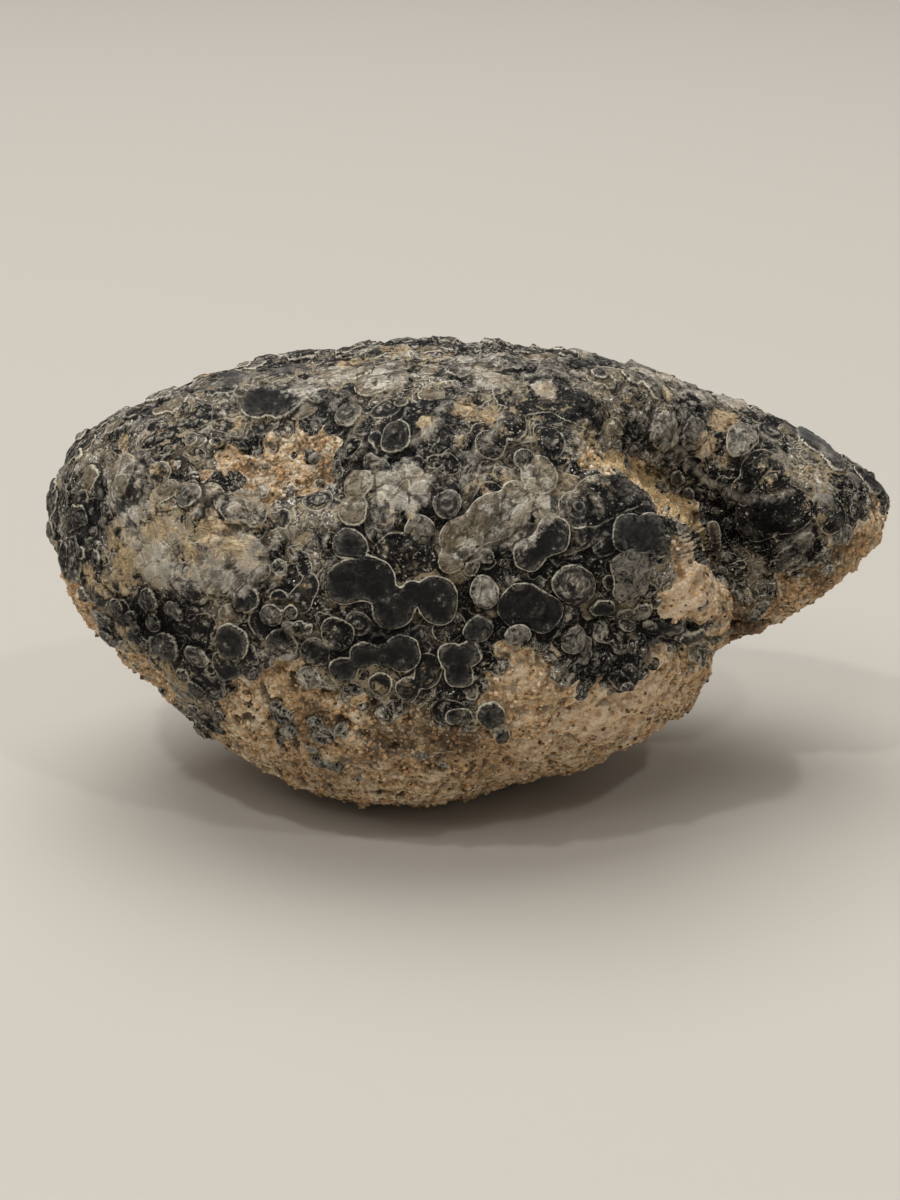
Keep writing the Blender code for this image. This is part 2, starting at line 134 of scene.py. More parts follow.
# %% The plates that can be told apart, by their look, each a group of discs: cell and radius in cells
TOP_PLATES = {
    "dark": [
        [(352, 546, 15), (349, 585, 19), (372, 580, 20), (391, 608, 19), (412, 593, 10), (438, 598, 20)],
        [(553, 534, 15), (527, 555, 14), (540, 544, 11)],
        [(628, 531, 15), (648, 532, 15), (664, 546, 9)],
        [(343, 665, 14), (364, 652, 13), (384, 655, 12), (403, 652, 18)],
        [(453, 655, 13), (474, 652, 12), (462, 670, 14)],
        [(485, 706, 14), (494, 725, 8)],
        [(806, 446, 22), (826, 466, 15)],
        [(246, 596, 15)],
        [(238, 638, 18)],
        [(262, 408, 20), (287, 406, 21)],
        [(606, 605, 13)],
        [(481, 627, 14)],
    ],
    "black": [
        [(634, 610, 9), (632, 625, 10)],
        [(799, 541, 10), (789, 551, 11), (779, 561, 9)],
        [(232, 514, 12), (250, 517, 12), (222, 506, 8)],
        [(288, 622, 6), (300, 623, 7), (311, 626, 5)],
        [(206, 682, 11), (193, 668, 8)],
        [(175, 643, 15)],
        [(487, 558, 7), (473, 570, 7)],
        [(524, 462, 10)],
        [(121, 600, 9), (112, 612, 5)],
        [(136, 611, 8), (142, 623, 6)],
        [(152, 596, 11)],
        [(158, 619, 10)],
        [(112, 628, 8)],
        [(94, 592, 7)],
        [(286, 638, 14)],
        [(272, 612, 10), (290, 608, 7)],
        [(201, 699, 7)],
        [(213, 722, 8)],
        [(88, 556, 7)],
        [(104, 558, 7), (100, 545, 5)],
    ],
    "ringed": [
        [(575, 582, 20)],
        [(482, 372, 22), (502, 368, 20), (459, 378, 16)],
        [(449, 503, 12)],
        [(193, 498, 11)],
        [(181, 609, 11)],
        [(204, 652, 12)],
        [(319, 402, 11)],
        [(352, 423, 12)],
    ],
    "mottled": [
        [(637, 563, 19), (635, 581, 18)],
        [(487, 591, 13)],
        [(573, 639, 13)],
        [(652, 607, 10), (656, 622, 9)],
        [(516, 634, 11)],
        [(738, 444, 15)],
        [(651, 433, 16)],
    ],
    "brown": [
        [(464, 536, 20), (491, 520, 23), (514, 500, 16), (452, 560, 12)],
        [(392, 375, 17), (376, 393, 20), (358, 380, 13)],
        [(540, 478, 18)],
        [(361, 488, 15)],
        [(407, 490, 14)],
        [(355, 512, 15)],
        [(126, 477, 21)],
    ],
}
MIDDLE_PLATES = {
    "black": [
        [(520, 405, 26), (550, 400, 28), (575, 412, 28), (510, 432, 17), (490, 450, 14)],
        [(400, 560, 28), (425, 555, 22)],
        [(600, 500, 22), (622, 494, 18), (588, 514, 14)],
        [(673, 511, 5), (682, 518, 5), (690, 526, 5)],
        [(340, 630, 15)],
        [(450, 625, 16)],
        [(760, 515, 22), (790, 510, 21), (822, 512, 18)],
        [(762, 470, 18), (778, 482, 15), (750, 486, 11)],
        [(105, 590, 12), (125, 605, 13)],
    ],
    "dark": [
        [(523, 606, 22), (540, 612, 18)],
        [(430, 668, 14), (380, 682, 12), (410, 684, 12)],
        [(458, 709, 11)],
        [(400, 445, 15)],
    ],
    "ringed": [
        [(577, 511, 17)],
        [(700, 402, 11)],
    ],
    "mottled": [
        [(690, 435, 14)],
        [(650, 395, 14), (628, 385, 12)],
        [(422, 530, 15)],
    ],
}
ISLANDS = {
    "black": [
        [(286, 712, 11), (293, 730, 9), (279, 703, 6)],
        [(315, 721, 8), (325, 734, 10), (340, 730, 7)],
        [(316, 748, 8), (323, 760, 9), (337, 764, 8)],
        [(422, 747, 6), (440, 756, 5)],
        [(282, 738, 5)],
        [(362, 775, 4)],
        [(128, 652, 4), (140, 662, 5)],
        [(152, 672, 5), (166, 686, 6)],
        [(173, 700, 5)],
        [(752, 612, 7), (762, 604, 6)],
        [(655, 668, 5)],
        [(690, 668, 4)],
    ],
    "mottled": [
        [(309, 675, 13)],
    ],
}
LOOKS = {"black": 0.12, "dark": 0.38, "ringed": 0.6, "mottled": 0.77, "brown": 0.92}
BED_SCATTER = {"seed": 3, "gap": 0.62, "radii": (1.2, 2.4), "tries": 9000}
LOW_SCATTER = {"seed": 5, "gap": 1.2, "radii": (0.8, 2.2), "tries": 5000}
MIDDLE_SCATTER = {"seed": 7, "gap": 1.7, "radii": (0.8, 2.1), "tries": 4000}
TOP_SCATTER = {"seed": 9, "gap": 2.4, "radii": (0.7, 1.7), "tries": 2600}
FRINGE_SCATTER = {"seed": 15, "gap": 2.3, "radii": (0.3, 1.0), "tries": 9000, "beyond": 1.7}
BEAD_SCATTER = {"seed": 13, "gap": 1.3, "radii": (0.35, 0.8), "tries": 16000}
print("looks of the drawn plates:", {look: len(plates) for look, plates in TOP_PLATES.items()})

# %% The ridges that can be followed over the face: half width in millimetres, and cells along each
RIDGES = [
    (0.30, [(577, 388), (567, 383), (558, 378), (543, 377), (528, 379), (519, 386), (521, 397), (517, 408),
            (503, 417), (497, 430), (490, 445), (478, 455), (470, 468), (463, 480), (462, 490)]),
    (0.10, [(432, 372), (432, 385), (435, 397), (439, 407), (447, 408)]),
    (0.10, [(443, 377), (445, 386), (453, 395), (467, 400), (478, 393), (491, 390), (505, 388), (518, 378)]),
    (0.08, [(437, 366), (457, 362), (473, 358), (490, 353), (503, 351)]),
    (0.08, [(437, 395), (445, 403), (457, 407), (472, 405), (490, 403), (505, 397)]),
    (0.12, [(457, 415), (450, 411), (443, 414), (442, 423), (442, 433), (433, 440), (422, 443), (413, 452)]),
    (0.10, [(368, 405), (365, 414), (363, 427), (357, 438), (350, 443)]),
    (0.08, [(362, 452), (373, 463), (380, 473), (378, 484)]),
    (0.12, [(347, 402), (360, 407), (380, 408), (397, 402), (402, 389), (397, 378), (385, 372)]),
    (0.10, [(241, 418), (245, 405), (254, 394), (268, 386), (292, 384), (318, 387), (332, 396)]),
    (0.12, [(290, 373), (303, 374), (313, 382)]),
    (0.08, [(295, 392), (305, 398), (307, 410), (303, 420)]),
    (0.10, [(108, 457), (125, 454), (144, 464), (158, 480), (148, 498), (140, 513)]),
    (0.10, [(158, 494), (177, 483), (196, 491), (203, 506), (196, 524), (181, 535)]),
    (0.10, [(218, 509), (233, 502), (262, 509), (277, 524), (270, 541), (262, 557), (284, 535), (314, 518)]),
    (0.10, [(107, 572), (129, 576), (162, 580), (196, 584), (240, 580), (262, 571), (277, 585)]),
    (0.10, [(277, 609), (299, 631), (318, 637), (336, 643)]),
    (0.14, [(440, 531), (443, 552), (452, 567), (453, 577), (464, 580), (471, 567), (482, 555), (497, 542),
            (512, 525), (524, 518), (542, 520), (560, 518), (569, 511)]),
    (0.18, [(565, 443), (573, 449), (582, 457), (593, 465), (601, 472), (613, 468)]),
    (0.16, [(583, 486), (597, 480), (608, 475), (622, 477), (628, 487), (638, 497), (650, 503), (663, 500),
            (673, 505), (683, 513), (694, 526)]),
    (0.12, [(560, 468), (565, 478), (572, 487), (583, 488)]),
    (0.12, [(533, 462), (543, 465), (553, 468), (559, 478), (560, 487), (555, 498)]),
    (0.12, [(567, 501), (580, 495), (592, 500), (598, 510), (598, 521)]),
    (0.08, [(573, 428), (567, 435), (570, 444)]),
    (0.10, [(610, 368), (625, 370), (642, 373), (650, 383)]),
    (0.08, [(617, 386), (627, 394), (630, 407), (628, 418)]),
    (0.12, [(675, 445), (687, 458), (700, 468), (711, 479), (730, 483), (744, 495), (764, 498), (782, 501),
            (796, 495)]),
    (0.12, [(650, 448), (664, 446), (674, 441)]),
    (0.10, [(754, 438), (771, 449), (784, 468), (792, 482), (806, 493), (829, 511)]),
    (0.10, [(775, 548), (789, 535), (802, 530), (808, 540), (800, 553), (785, 562)]),
    (0.10, [(668, 552), (684, 548), (704, 556), (722, 566), (730, 584), (734, 606), (730, 628)]),
]

# %% [markdown]
# ## Noise
# Three kinds are needed. Broad unevenness is a sum of plane waves, which is smooth and cheap. Grain is
# lattice noise: each corner of a cubic lattice has a random value, and between corners the values
# are blended with an S-curve. Knobs, such as chalcedony heaps up, are balls about one random point in
# each cube of a lattice. All three take all points at once.

# %% Noise over arrays of places
WAVE_SPREAD = (0.7, 1.4)
LATTICE = 64
LATTICE_START = 100 * LATTICE
KNOB_RADIUS = 0.9
FAR_OFF = 9.0


def smooth_step(value):
    """0 below 0, 1 above 1, and an S-curve between."""
    share = np.clip(value, 0.0, 1.0)
    return share * share * (3.0 - 2.0 * share)


def wave_noise(places, size, seed, waves=24):
    """Smooth noise of about -1 to 1: a sum of plane waves of about that size, in random directions."""
    random = np.random.default_rng(seed)
    direction = random.normal(size=(3, waves))
    direction /= np.linalg.norm(direction, axis=0)
    turns = direction / (size * random.uniform(*WAVE_SPREAD, waves))
    phase = random.uniform(0.0, 1.0, waves)
    return np.sin(2.0 * math.pi * (places @ turns + phase)).sum(axis=1) / math.sqrt(waves)


def grain_noise(places, size, seed):
    """Lattice noise of -1 to 1: random values at the corners of cubes of that size, blended between them."""
    table = np.random.default_rng(seed).uniform(-1.0, 1.0, (LATTICE, LATTICE, LATTICE))
    spot = places / size + LATTICE_START
    corner = np.floor(spot).astype(int)
    share = smooth_step(spot - corner)
    total = np.zeros(len(places))
    for step in np.ndindex(2, 2, 2):
        weight = np.prod(np.where(step, share, 1.0 - share), axis=1)
        x, y, z = ((corner + step) % LATTICE).T
        total += weight * table[x, y, z]
    return total


def knobs(places, size, seed):
    """Round knobs, one in each cube of a lattice: their height, their distance to a crack and their tone.

    The height is that of a ball about the nearest centre, from 0 to 1. The crack is where the second
    nearest centre is as near, and the distance to it is in millimetres.
    """
    table = np.random.default_rng(seed).uniform(0.0, 1.0, (LATTICE, LATTICE, LATTICE, 4))
    spot = places / size + LATTICE_START
    corner = np.floor(spot).astype(int)
    nearest = np.full(len(places), FAR_OFF)
    second = nearest.copy()
    tone = np.zeros(len(places))
    for step in np.ndindex(3, 3, 3):
        cube = corner + step - 1
        x, y, z = (cube % LATTICE).T
        seat = table[x, y, z]
        apart = np.linalg.norm(cube + seat[:, :3] - spot, axis=1)
        second = np.where(apart < nearest, nearest, np.minimum(second, apart))
        tone = np.where(apart < nearest, seat[:, 3], tone)
        nearest = np.minimum(nearest, apart)
    return np.sqrt(1.0 - np.clip(nearest / KNOB_RADIUS, 0.0, 1.0) ** 2), (second - nearest) * size, tone


# %% [markdown]
# ## The bare stone
# A half plane through the axis that points out of the face cuts the stone in half an ellipse: as wide
# as the outline is there, and as deep as the bulge. So a place on the stone is a function of two
# parameters, the angle round the face and the tilt off the axis. The lobe that overlaps the wing is a
# share of the bulge that falls away past a ledge.

# %% Sight cells and millimetres
def from_cells(cells, forward=0.0):
    """Right and up, in millimetres, of sight cells on a surface that far forward: near things look larger."""
    cells = np.asarray(cells, float)[..., :2]
    eye = (np.array(EYE_CELL) - HEART_CELL) * (CELL, -CELL)
    away = (cells - EYE_CELL) * (CELL, -CELL)
    return eye + away * (1.0 - np.asarray(forward) / EYE_DISTANCE)[..., None]


def to_cells(places):
    """The sight cells at which the eye sees places on the stone."""
    eye = (np.array(EYE_CELL) - HEART_CELL) * (CELL, -CELL)
    away = (places[:, :2] - eye) / (1.0 - places[:, 2:] / EYE_DISTANCE)
    return away / (CELL, -CELL) + EYE_CELL


# %% The outline and the ledge
def outline_radius(angle):
    """Distance from the heart to the bare stone's outline at an angle, the outline's corners rounded off."""
    right, up = from_cells(OUTLINE).T
    turn = np.degrees(np.arctan2(up, right))
    degrees = np.arange(-180.0, 180.0)
    sharp = np.interp(degrees, turn, np.hypot(right, up), period=360.0)
    steps = np.arange(-CORNER_REACH, CORNER_REACH + 1)
    weights = np.exp(-0.5 * (steps / CORNER_ROUNDING) ** 2)
    rounded = sum(weight * np.roll(sharp, step) for weight, step in zip(weights, steps)) / weights.sum()
    return np.interp(np.degrees(angle), degrees, rounded, period=360.0) - CRUST_DEPTH


def ledge_lip():
    """The ledge's lip, right and up, closed in on from the cells at which the eye sees it on the bulge."""
    forward = np.zeros(len(LEDGE))
    for _ in range(SIGHT_STEPS):
        right, up = from_cells(LEDGE, forward).T
        share = np.hypot(right, up) / outline_radius(np.arctan2(up, right))
        forward = 0.5 * (forward + FRONT_BULGE * np.sqrt(1.0 - np.clip(share, 0.0, 1.0) ** 2))
    return from_cells(LEDGE, forward)


LIP = ledge_lip()


def past_ledge(right, up):
    """How far places lie past the ledge's lip, towards the wing, and what share along the ledge they are."""
    knots = np.arange(len(LIP))
    fine = np.linspace(0.0, knots[-1], LIP_POINTS)
    path = np.stack([np.interp(fine, knots, LIP[:, axis]) for axis in (0, 1)], axis=1)
    offset = np.stack([right, up], axis=1)[:, None, :] - path
    nearest = np.argmin((offset ** 2).sum(axis=2), axis=1)
    offset = offset[np.arange(len(offset)), nearest]
    run = np.gradient(path, axis=0)[nearest]
    side = np.sign(run[:, 0] * offset[:, 1] - run[:, 1] * offset[:, 0])
    return side * np.linalg.norm(offset, axis=1), fine[nearest] / knots[-1]


def wall_width(along):
    """How wide the ledge's wall is: a slope at the top, where it is seen from above, and steep beside it."""
    return WALL_TOP + (WALL_SIDE - WALL_TOP) * smooth_step((along - WALL_TURNS_AT) / WALL_TURNS_OVER)


def front_share(past, along):
    """The share of the front bulge that is left across the ledge.

    The lobe's shoulder rolls off like a quarter of an ellipse up to the lip, the wall drops the
    rest of the way, and the wing rises again beyond it.
    """
    full = smooth_step(along / LEDGE_FULL_AT)
    wall = wall_width(along)
    shoulder = SHOULDER_START + (SHOULDER_END - SHOULDER_START) * full
    rolled = 1.0 - np.sqrt(1.0 - np.clip(past / shoulder + 1.0, 0.0, 1.0) ** 2)
    dropped = SHOULDER_SHARE * rolled + (1.0 - SHOULDER_SHARE) * smooth_step(past / wall)
    recovery = smooth_step((past - wall) / WING_RECOVERY)
    left = WING_LEFT_AT_WALL + (WING_LEFT_OUT - WING_LEFT_AT_WALL) * recovery
    return 1.0 - (1.0 - left) * full * dropped


# %% The bare stone as a function of two parameters
def bare_stone(angle, tilt):
    """Places on the stone without its crust, from an angle round the face and a tilt off the forward axis.

    Right and up are the outline's radius times the sine of the tilt, and forward is the bulge times
    its cosine. Swellings, the ledge and noise then change how far forward that lies.
    """
    reach = outline_radius(angle) * np.sin(tilt)
    right, up = reach * np.cos(angle), reach * np.sin(angle)
    rise = np.cos(tilt)
    front = rise > 0.0
    forward = rise * np.where(front, FRONT_BULGE * front_share(*past_ledge(right, up)), BACK_BULGE)
    for *cell, radius, height in SWELLINGS:
        centre = from_cells(cell, FIRST_FORWARD)
        off = np.hypot(right - centre[0], up - centre[1]) / (radius * CELL)
        forward = forward + np.where(front, rise * height * np.exp(-off ** 2), 0.0)
    places = np.stack([right, up, forward], axis=1)
    swell = sum(height * wave_noise(places, size, LUMP_SEED + n) for n, (size, height) in enumerate(LUMPS))
    return places * (1.0 + swell * np.abs(rise) / FRONT_BULGE)[:, None]


def on_face(cells):
    """Places on the front of the bare stone that the eye sees at sight cells, closed in on step by step."""
    forward = np.full(len(cells), FIRST_FORWARD)
    for _ in range(SIGHT_STEPS):
        right, up = from_cells(cells, forward).T
        angle = np.arctan2(up, right)
        tilt = np.arcsin(np.clip(np.hypot(right, up) / outline_radius(angle), 0.0, OUTLINE_SHARE))
        places = bare_stone(angle, tilt)
        forward = 0.5 * (forward + places[:, 2])
    return places


# %% [markdown]
# ## One sheet of points round the whole stone
# A globe's grid bunches its points at two poles. Here a square is folded round the stone instead: its
# middle is the front, its sides are folded at their middles, and its corners meet at the back. The
# mesh is then all quads, it has no pole on the best side, and the square is its own UV map.

# %% The folded square
FACE_ASPECT = 0.56
FACE_EVENNESS = 0.3


def folded_square(columns, rows, outline_at):
    """Angle and tilt of each point of a square that is folded round the stone.

    The distance from the middle, counted along the sides, gives the tilt, and the outline lies at
    outline_at. The place between two axes of the square gives the angle.
    """
    across, along = np.meshgrid(np.linspace(-1, 1, columns), np.linspace(-1, 1, rows), indexing="ij")
    across, along = across.ravel(), along.ravel()
    far = np.abs(across) + np.abs(along)
    flipped_across = np.where(far > 1.0, 1.0 - np.abs(along), np.abs(across))
    flipped_along = np.where(far > 1.0, 1.0 - np.abs(across), np.abs(along))
    quarter = flipped_along / np.maximum(flipped_across + flipped_along, 1e-9) * math.pi / 2
    angle = np.arctan2(FACE_ASPECT * np.sin(quarter) * np.where(along < 0, -1, 1),
                       np.cos(quarter) * np.where(across < 0, -1, 1))
    share = np.clip(far / outline_at, 0.0, 1.0)
    front = FACE_EVENNESS * np.arcsin(share) + (1.0 - FACE_EVENNESS) * share * math.pi / 2
    back = math.pi / 2 * (1.0 + (far - outline_at) / (2.0 - outline_at))
    return angle, np.where(far < outline_at, front, back)


def folded_faces(columns, rows):
    """The square's quads, with the two halves of each side sewn together, and the points that they use."""
    sewn = np.arange(columns * rows).reshape(columns, rows)
    for side in (sewn[0], sewn[-1], sewn[:, 0], sewn[:, -1]):
        side[:] = np.maximum(side, side[::-1])
    quads = np.stack([sewn[:-1, :-1], sewn[1:, :-1], sewn[1:, 1:], sewn[:-1, 1:]], axis=2).reshape(-1, 4)
    used, renumbered = np.unique(quads, return_inverse=True)
    return used, renumbered.reshape(-1, 4)


def square_corners(columns, rows):
    """Each quad's corners on the unsewn square, from 0 to 1: the map that the finish can be unrolled on."""
    across, along = np.meshgrid(np.linspace(0, 1, columns), np.linspace(0, 1, rows), indexing="ij")
    spots = np.stack([across, along], axis=2)
    return np.stack([spots[:-1, :-1], spots[1:, :-1], spots[1:, 1:], spots[:-1, 1:]], axis=2).reshape(-1, 2)


def outward(places, quads):
    """Unit normals at the points, each the mean of its quads' normals."""
    corner = places[quads]
    flat = np.cross(corner[:, 2] - corner[:, 0], corner[:, 3] - corner[:, 1])
    total = np.zeros_like(places)
    for n in range(4):
        np.add.at(total, quads[:, n], flat)
    return total / np.linalg.norm(total, axis=1, keepdims=True)


# %% [markdown]
# ## The crust's plates
# A plate is a group of discs that grew until they merged. How far a point lies inside a plate's rim is
# a distance, and the distances of a plate's discs are blended with a soft maximum, which rounds the
# necks between them. Two plates of one layer only meet, so each keeps its own rim.

# %% The crust's reach, and the plates scattered over it
SHARE_ON_CRUST = 0.5
MOST_BUDS = 3
BUD_STRIDE = (0.7, 1.1)
BUD_SIZE = (0.55, 0.95)
SMALLEST_TILT = 0.02
DARKER_TONES = 1.6
CHAIN_STEP = 0.25
CHAIN_EVENED = 9
CHAIN_TONE = 0.5


def crust_reach(places):
    """How far inside the crust's reach places lie: above the hem, out of windows and off the ledge's wall."""
    column, row = to_cells(places).T
    face_hem = np.interp(column, *np.array(HEM, float).T)
    back_hem = np.interp(column, *np.array(BACK_HEM, float).T)
    hem = face_hem + (back_hem - face_hem) * smooth_step(-places[:, 2] / HEM_TURN)
    reach = (hem - row) * CELL
    for centre, (*_, radius) in zip(on_face(WINDOWS), WINDOWS):
        reach = np.minimum(reach, np.linalg.norm(places - centre, axis=1) - radius * CELL)
    past, along = past_ledge(places[:, 0], places[:, 1])
    half_wall = 0.5 * wall_width(along)
    off_wall = np.abs(past - half_wall) - half_wall - WALL_MARGIN
    beside_wall = (places[:, 2] > 0.0) & (along > WALL_SPAN[0]) & (along < WALL_SPAN[1])
    return np.where(beside_wall, np.minimum(reach, off_wall), reach)


def grouped(looks):
    """Discs of plates as places, radii and the number of each one's plate, and the plates' tones."""
    tones = [LOOKS[look] for look, plates in looks.items() for _ in plates]
    plates = [plate for plates in looks.values() for plate in plates]
    discs = [disc for plate in plates for disc in plate]
    number = np.repeat(np.arange(len(plates)), [len(plate) for plate in plates])
    return on_face(discs), np.array([disc[2] for disc in discs]) * CELL, number, np.array(tones)


def scattered(seed, gap, radii, tries, taken=None, beyond=0.0):
    """Plates of one to four discs, tried at random over the crust and kept where they don't crowd others."""
    random = np.random.default_rng(seed)
    angle = random.uniform(-math.pi, math.pi, tries)
    tilt = np.arccos(random.uniform(-1.0, 1.0, tries))
    radius = random.uniform(*radii, tries)
    places = bare_stone(angle, tilt)
    kept, kept_radius = (np.empty((0, 3)), np.empty(0)) if taken is None else taken[:2]
    already = len(kept)
    chosen = []
    for n in np.flatnonzero(crust_reach(places) + beyond > SHARE_ON_CRUST * radius):
        apart = np.linalg.norm(kept - places[n], axis=1)
        if np.all(apart > gap * (kept_radius + radius[n])):
            kept = np.vstack([kept, places[n]])
            kept_radius = np.append(kept_radius, radius[n])
            chosen.append(n)
    buds = random.integers(0, MOST_BUDS + 1, len(chosen))
    number = np.repeat(np.arange(len(chosen)), buds)
    parent = np.array(chosen)[number]
    heading = random.uniform(0.0, 2.0 * math.pi, len(parent))
    stride = radius[parent] * random.uniform(*BUD_STRIDE, len(parent))
    bud_tilt = tilt[parent] + stride * np.sin(heading) / BACK_BULGE
    bud_tilt = np.clip(bud_tilt, SMALLEST_TILT, math.pi - SMALLEST_TILT)
    bud_angle = angle[parent] + stride * np.cos(heading) / (outline_radius(angle[parent]) * np.sin(bud_tilt))
    bud_radius = radius[parent] * random.uniform(*BUD_SIZE, len(parent))
    return (np.vstack([kept[already:], bare_stone(bud_angle, bud_tilt)]),
            np.append(kept_radius[already:], bud_radius), np.append(np.arange(len(chosen)), number),
            random.uniform(0.0, 1.0, len(chosen)) ** DARKER_TONES)


def chained(lines):
    """Ridges as plates of small discs, a step apart along lines whose corners are evened out."""
    chains = []
    for radius, cells in lines:
        cells = np.array(cells, float)
        run = np.append(0.0, np.cumsum(np.hypot(*np.diff(cells, axis=0).T))) * CELL
        along = np.arange(0.0, run[-1], CHAIN_STEP)
        spots = [np.pad(np.interp(along, run, cells[:, axis]), CHAIN_EVENED // 2, "edge") for axis in (0, 1)]
        even = np.ones(CHAIN_EVENED) / CHAIN_EVENED
        chains.append(np.stack([np.convolve(spot, even, "valid") for spot in spots], axis=1))
    lengths = [len(chain) for chain in chains]
    return (on_face(np.vstack(chains)), np.repeat([radius for radius, _ in lines], lengths),
            np.repeat(np.arange(len(lines)), lengths), np.full(len(lines), CHAIN_TONE))


def joined(first, second):
    """Two sets of plates as one, the second's numbers following on."""
    after = len(first[3])
    return (np.vstack([first[0], second[0]]), np.append(first[1], second[1]),
            np.append(first[2], second[2] + after), np.append(first[3], second[3]))


# %% How far inside a plate each point lies
DISC_MERGE = 0.22
OUTSIDE = 3.0


def plate_fields(places, plates):
    """Depth inside the deepest plate's rim, how far from the next plate's claim, and that plate's own tone.

    Only points within reach of a plate are worked out for it: the points are sorted along the stone,
    so a plate's neighbours are one slice of them.
    """
    centres, radii, number, tones = plates
    order = np.argsort(places[:, 0])
    ranked = places[order]
    depth = np.full(len(places), -OUTSIDE)
    second = np.full(len(places), -OUTSIDE)
    tone = np.zeros(len(places))
    for plate in range(len(tones)):
        discs = number == plate
        margin = radii[discs].max() + OUTSIDE
        low, high = np.searchsorted(
            ranked[:, 0], [centres[discs, 0].min() - margin, centres[discs, 0].max() + margin])
        apart = np.linalg.norm(ranked[low:high, None, :] - centres[discs], axis=2)
        nearest = (radii[discs] - apart).max(axis=1)
        merged = np.exp((radii[discs] - apart - nearest[:, None]) / DISC_MERGE).sum(axis=1)
        claim = nearest + DISC_MERGE * np.log(merged)
        wins = claim > depth[low:high]
        second[low:high] = np.where(wins, depth[low:high], np.maximum(second[low:high], claim))
        tone[low:high] = np.where(wins, tones[plate], tone[low:high])
        depth[low:high] = np.maximum(depth[low:high], claim)
    back = np.empty(len(places), int)
    back[order] = np.arange(len(places))
    return depth[back], (depth - second)[back], tone[back]


# %% The crust from the bed up, with its beads, its ridges and the fringe of small plates
drawn_middle, drawn_top = grouped(MIDDLE_PLATES), grouped(TOP_PLATES)
drawn = joined(drawn_middle, drawn_top)
LAYERS = {
    "bed": scattered(**BED_SCATTER),
    "low": joined(grouped(ISLANDS), scattered(**LOW_SCATTER)),
    "middle": joined(drawn_middle, scattered(**MIDDLE_SCATTER, taken=drawn)),
    "top": joined(drawn_top, scattered(**TOP_SCATTER, taken=drawn)),
    "bead": scattered(**BEAD_SCATTER, taken=drawn_top),
    "ridge": chained(RIDGES),
    "fringe": scattered(**FRINGE_SCATTER),
}
print("plates per layer:", {name: len(plates[3]) for name, plates in LAYERS.items()})

# %% [markdown]
# ## Zones
# The skin isn't alike everywhere. It is knobby in places, frosted pale with tiny crystals, dusted with
# tan sand, or plain black glass, and near the top edge a bluish-grey painted sheen lies where the
# overhead light glances off the smooth glass. The bare matrix is pinkish and pale in places, and has
# darker blotches in others, mostly low on the belly and under the wing. All are soft patches, so each
# is a field: the strongest of some round spots where the real patches are, broken up by noise. The
# back has an even strength of each, so that it looks like the rest of the stone.

# %% The zones' spots: cell, radius in cells and strength
KNOBBY = [
    (360, 500, 60, 1.0), (430, 500, 40, 0.9), (350, 370, 60, 0.9), (240, 395, 50, 0.8), (600, 380, 60, 0.7),
    (140, 540, 60, 0.7), (200, 560, 50, 0.8), (480, 500, 60, 0.7), (700, 420, 40, 0.8), (150, 440, 40, 0.5),
    (650, 440, 40, 0.6), (90, 480, 30, 0.6),
]
FROST = [
    (128, 480, 27, 0.9), (158, 550, 30, 1.2), (196, 560, 30, 1.1), (238, 564, 24, 1.0), (140, 520, 24, 0.8),
    (190, 402, 30, 0.55), (250, 512, 16, 0.6), (323, 382, 36, 0.8), (388, 386, 24, 0.85),
    (484, 375, 38, 0.85), (592, 362, 30, 0.5), (660, 384, 36, 0.65), (655, 430, 24, 0.6),
    (617, 446, 14, 0.6), (728, 408, 20, 1.3), (738, 444, 15, 0.3), (372, 492, 22, 0.7),
    (406, 492, 24, 0.7), (515, 506, 40, 0.6), (545, 396, 12, 1.0), (465, 545, 18, 0.5),
    (487, 591, 10, 0.6), (290, 660, 18, 0.6), (232, 515, 14, 0.4), (806, 440, 30, 0.2), (352, 512, 16, 0.5),
    (575, 582, 12, 0.5), (700, 405, 12, 0.6),
]
TAN_DUST = [
    (150, 500, 24, 0.6), (120, 530, 22, 0.7), (230, 545, 34, 0.6), (275, 430, 24, 0.6), (428, 431, 9, 1.2),
    (352, 366, 15, 1.2), (398, 352, 16, 1.0), (430, 362, 24, 0.6), (590, 456, 22, 0.9), (718, 424, 16, 1.0),
    (700, 450, 16, 0.9), (455, 573, 9, 0.8), (240, 440, 30, 0.6), (420, 615, 8, 0.7), (130, 570, 24, 0.7),
    (480, 490, 18, 0.5), (129, 444, 7, 1.1), (504, 366, 10, 1.3), (545, 396, 6, 1.0), (400, 520, 18, 0.5),
    (558, 484, 14, 0.9), (210, 390, 24, 0.5), (663, 398, 9, 1.1), (470, 425, 20, 0.7), (452, 447, 12, 0.7),
    (620, 402, 6, 1.0), (200, 572, 30, 0.6), (160, 520, 20, 0.6), (570, 640, 20, 0.5),
    (115, 590, 18, 0.8), (135, 635, 20, 0.9), (165, 655, 18, 0.8), (95, 575, 14, 0.8), (185, 675, 12, 0.7),
]
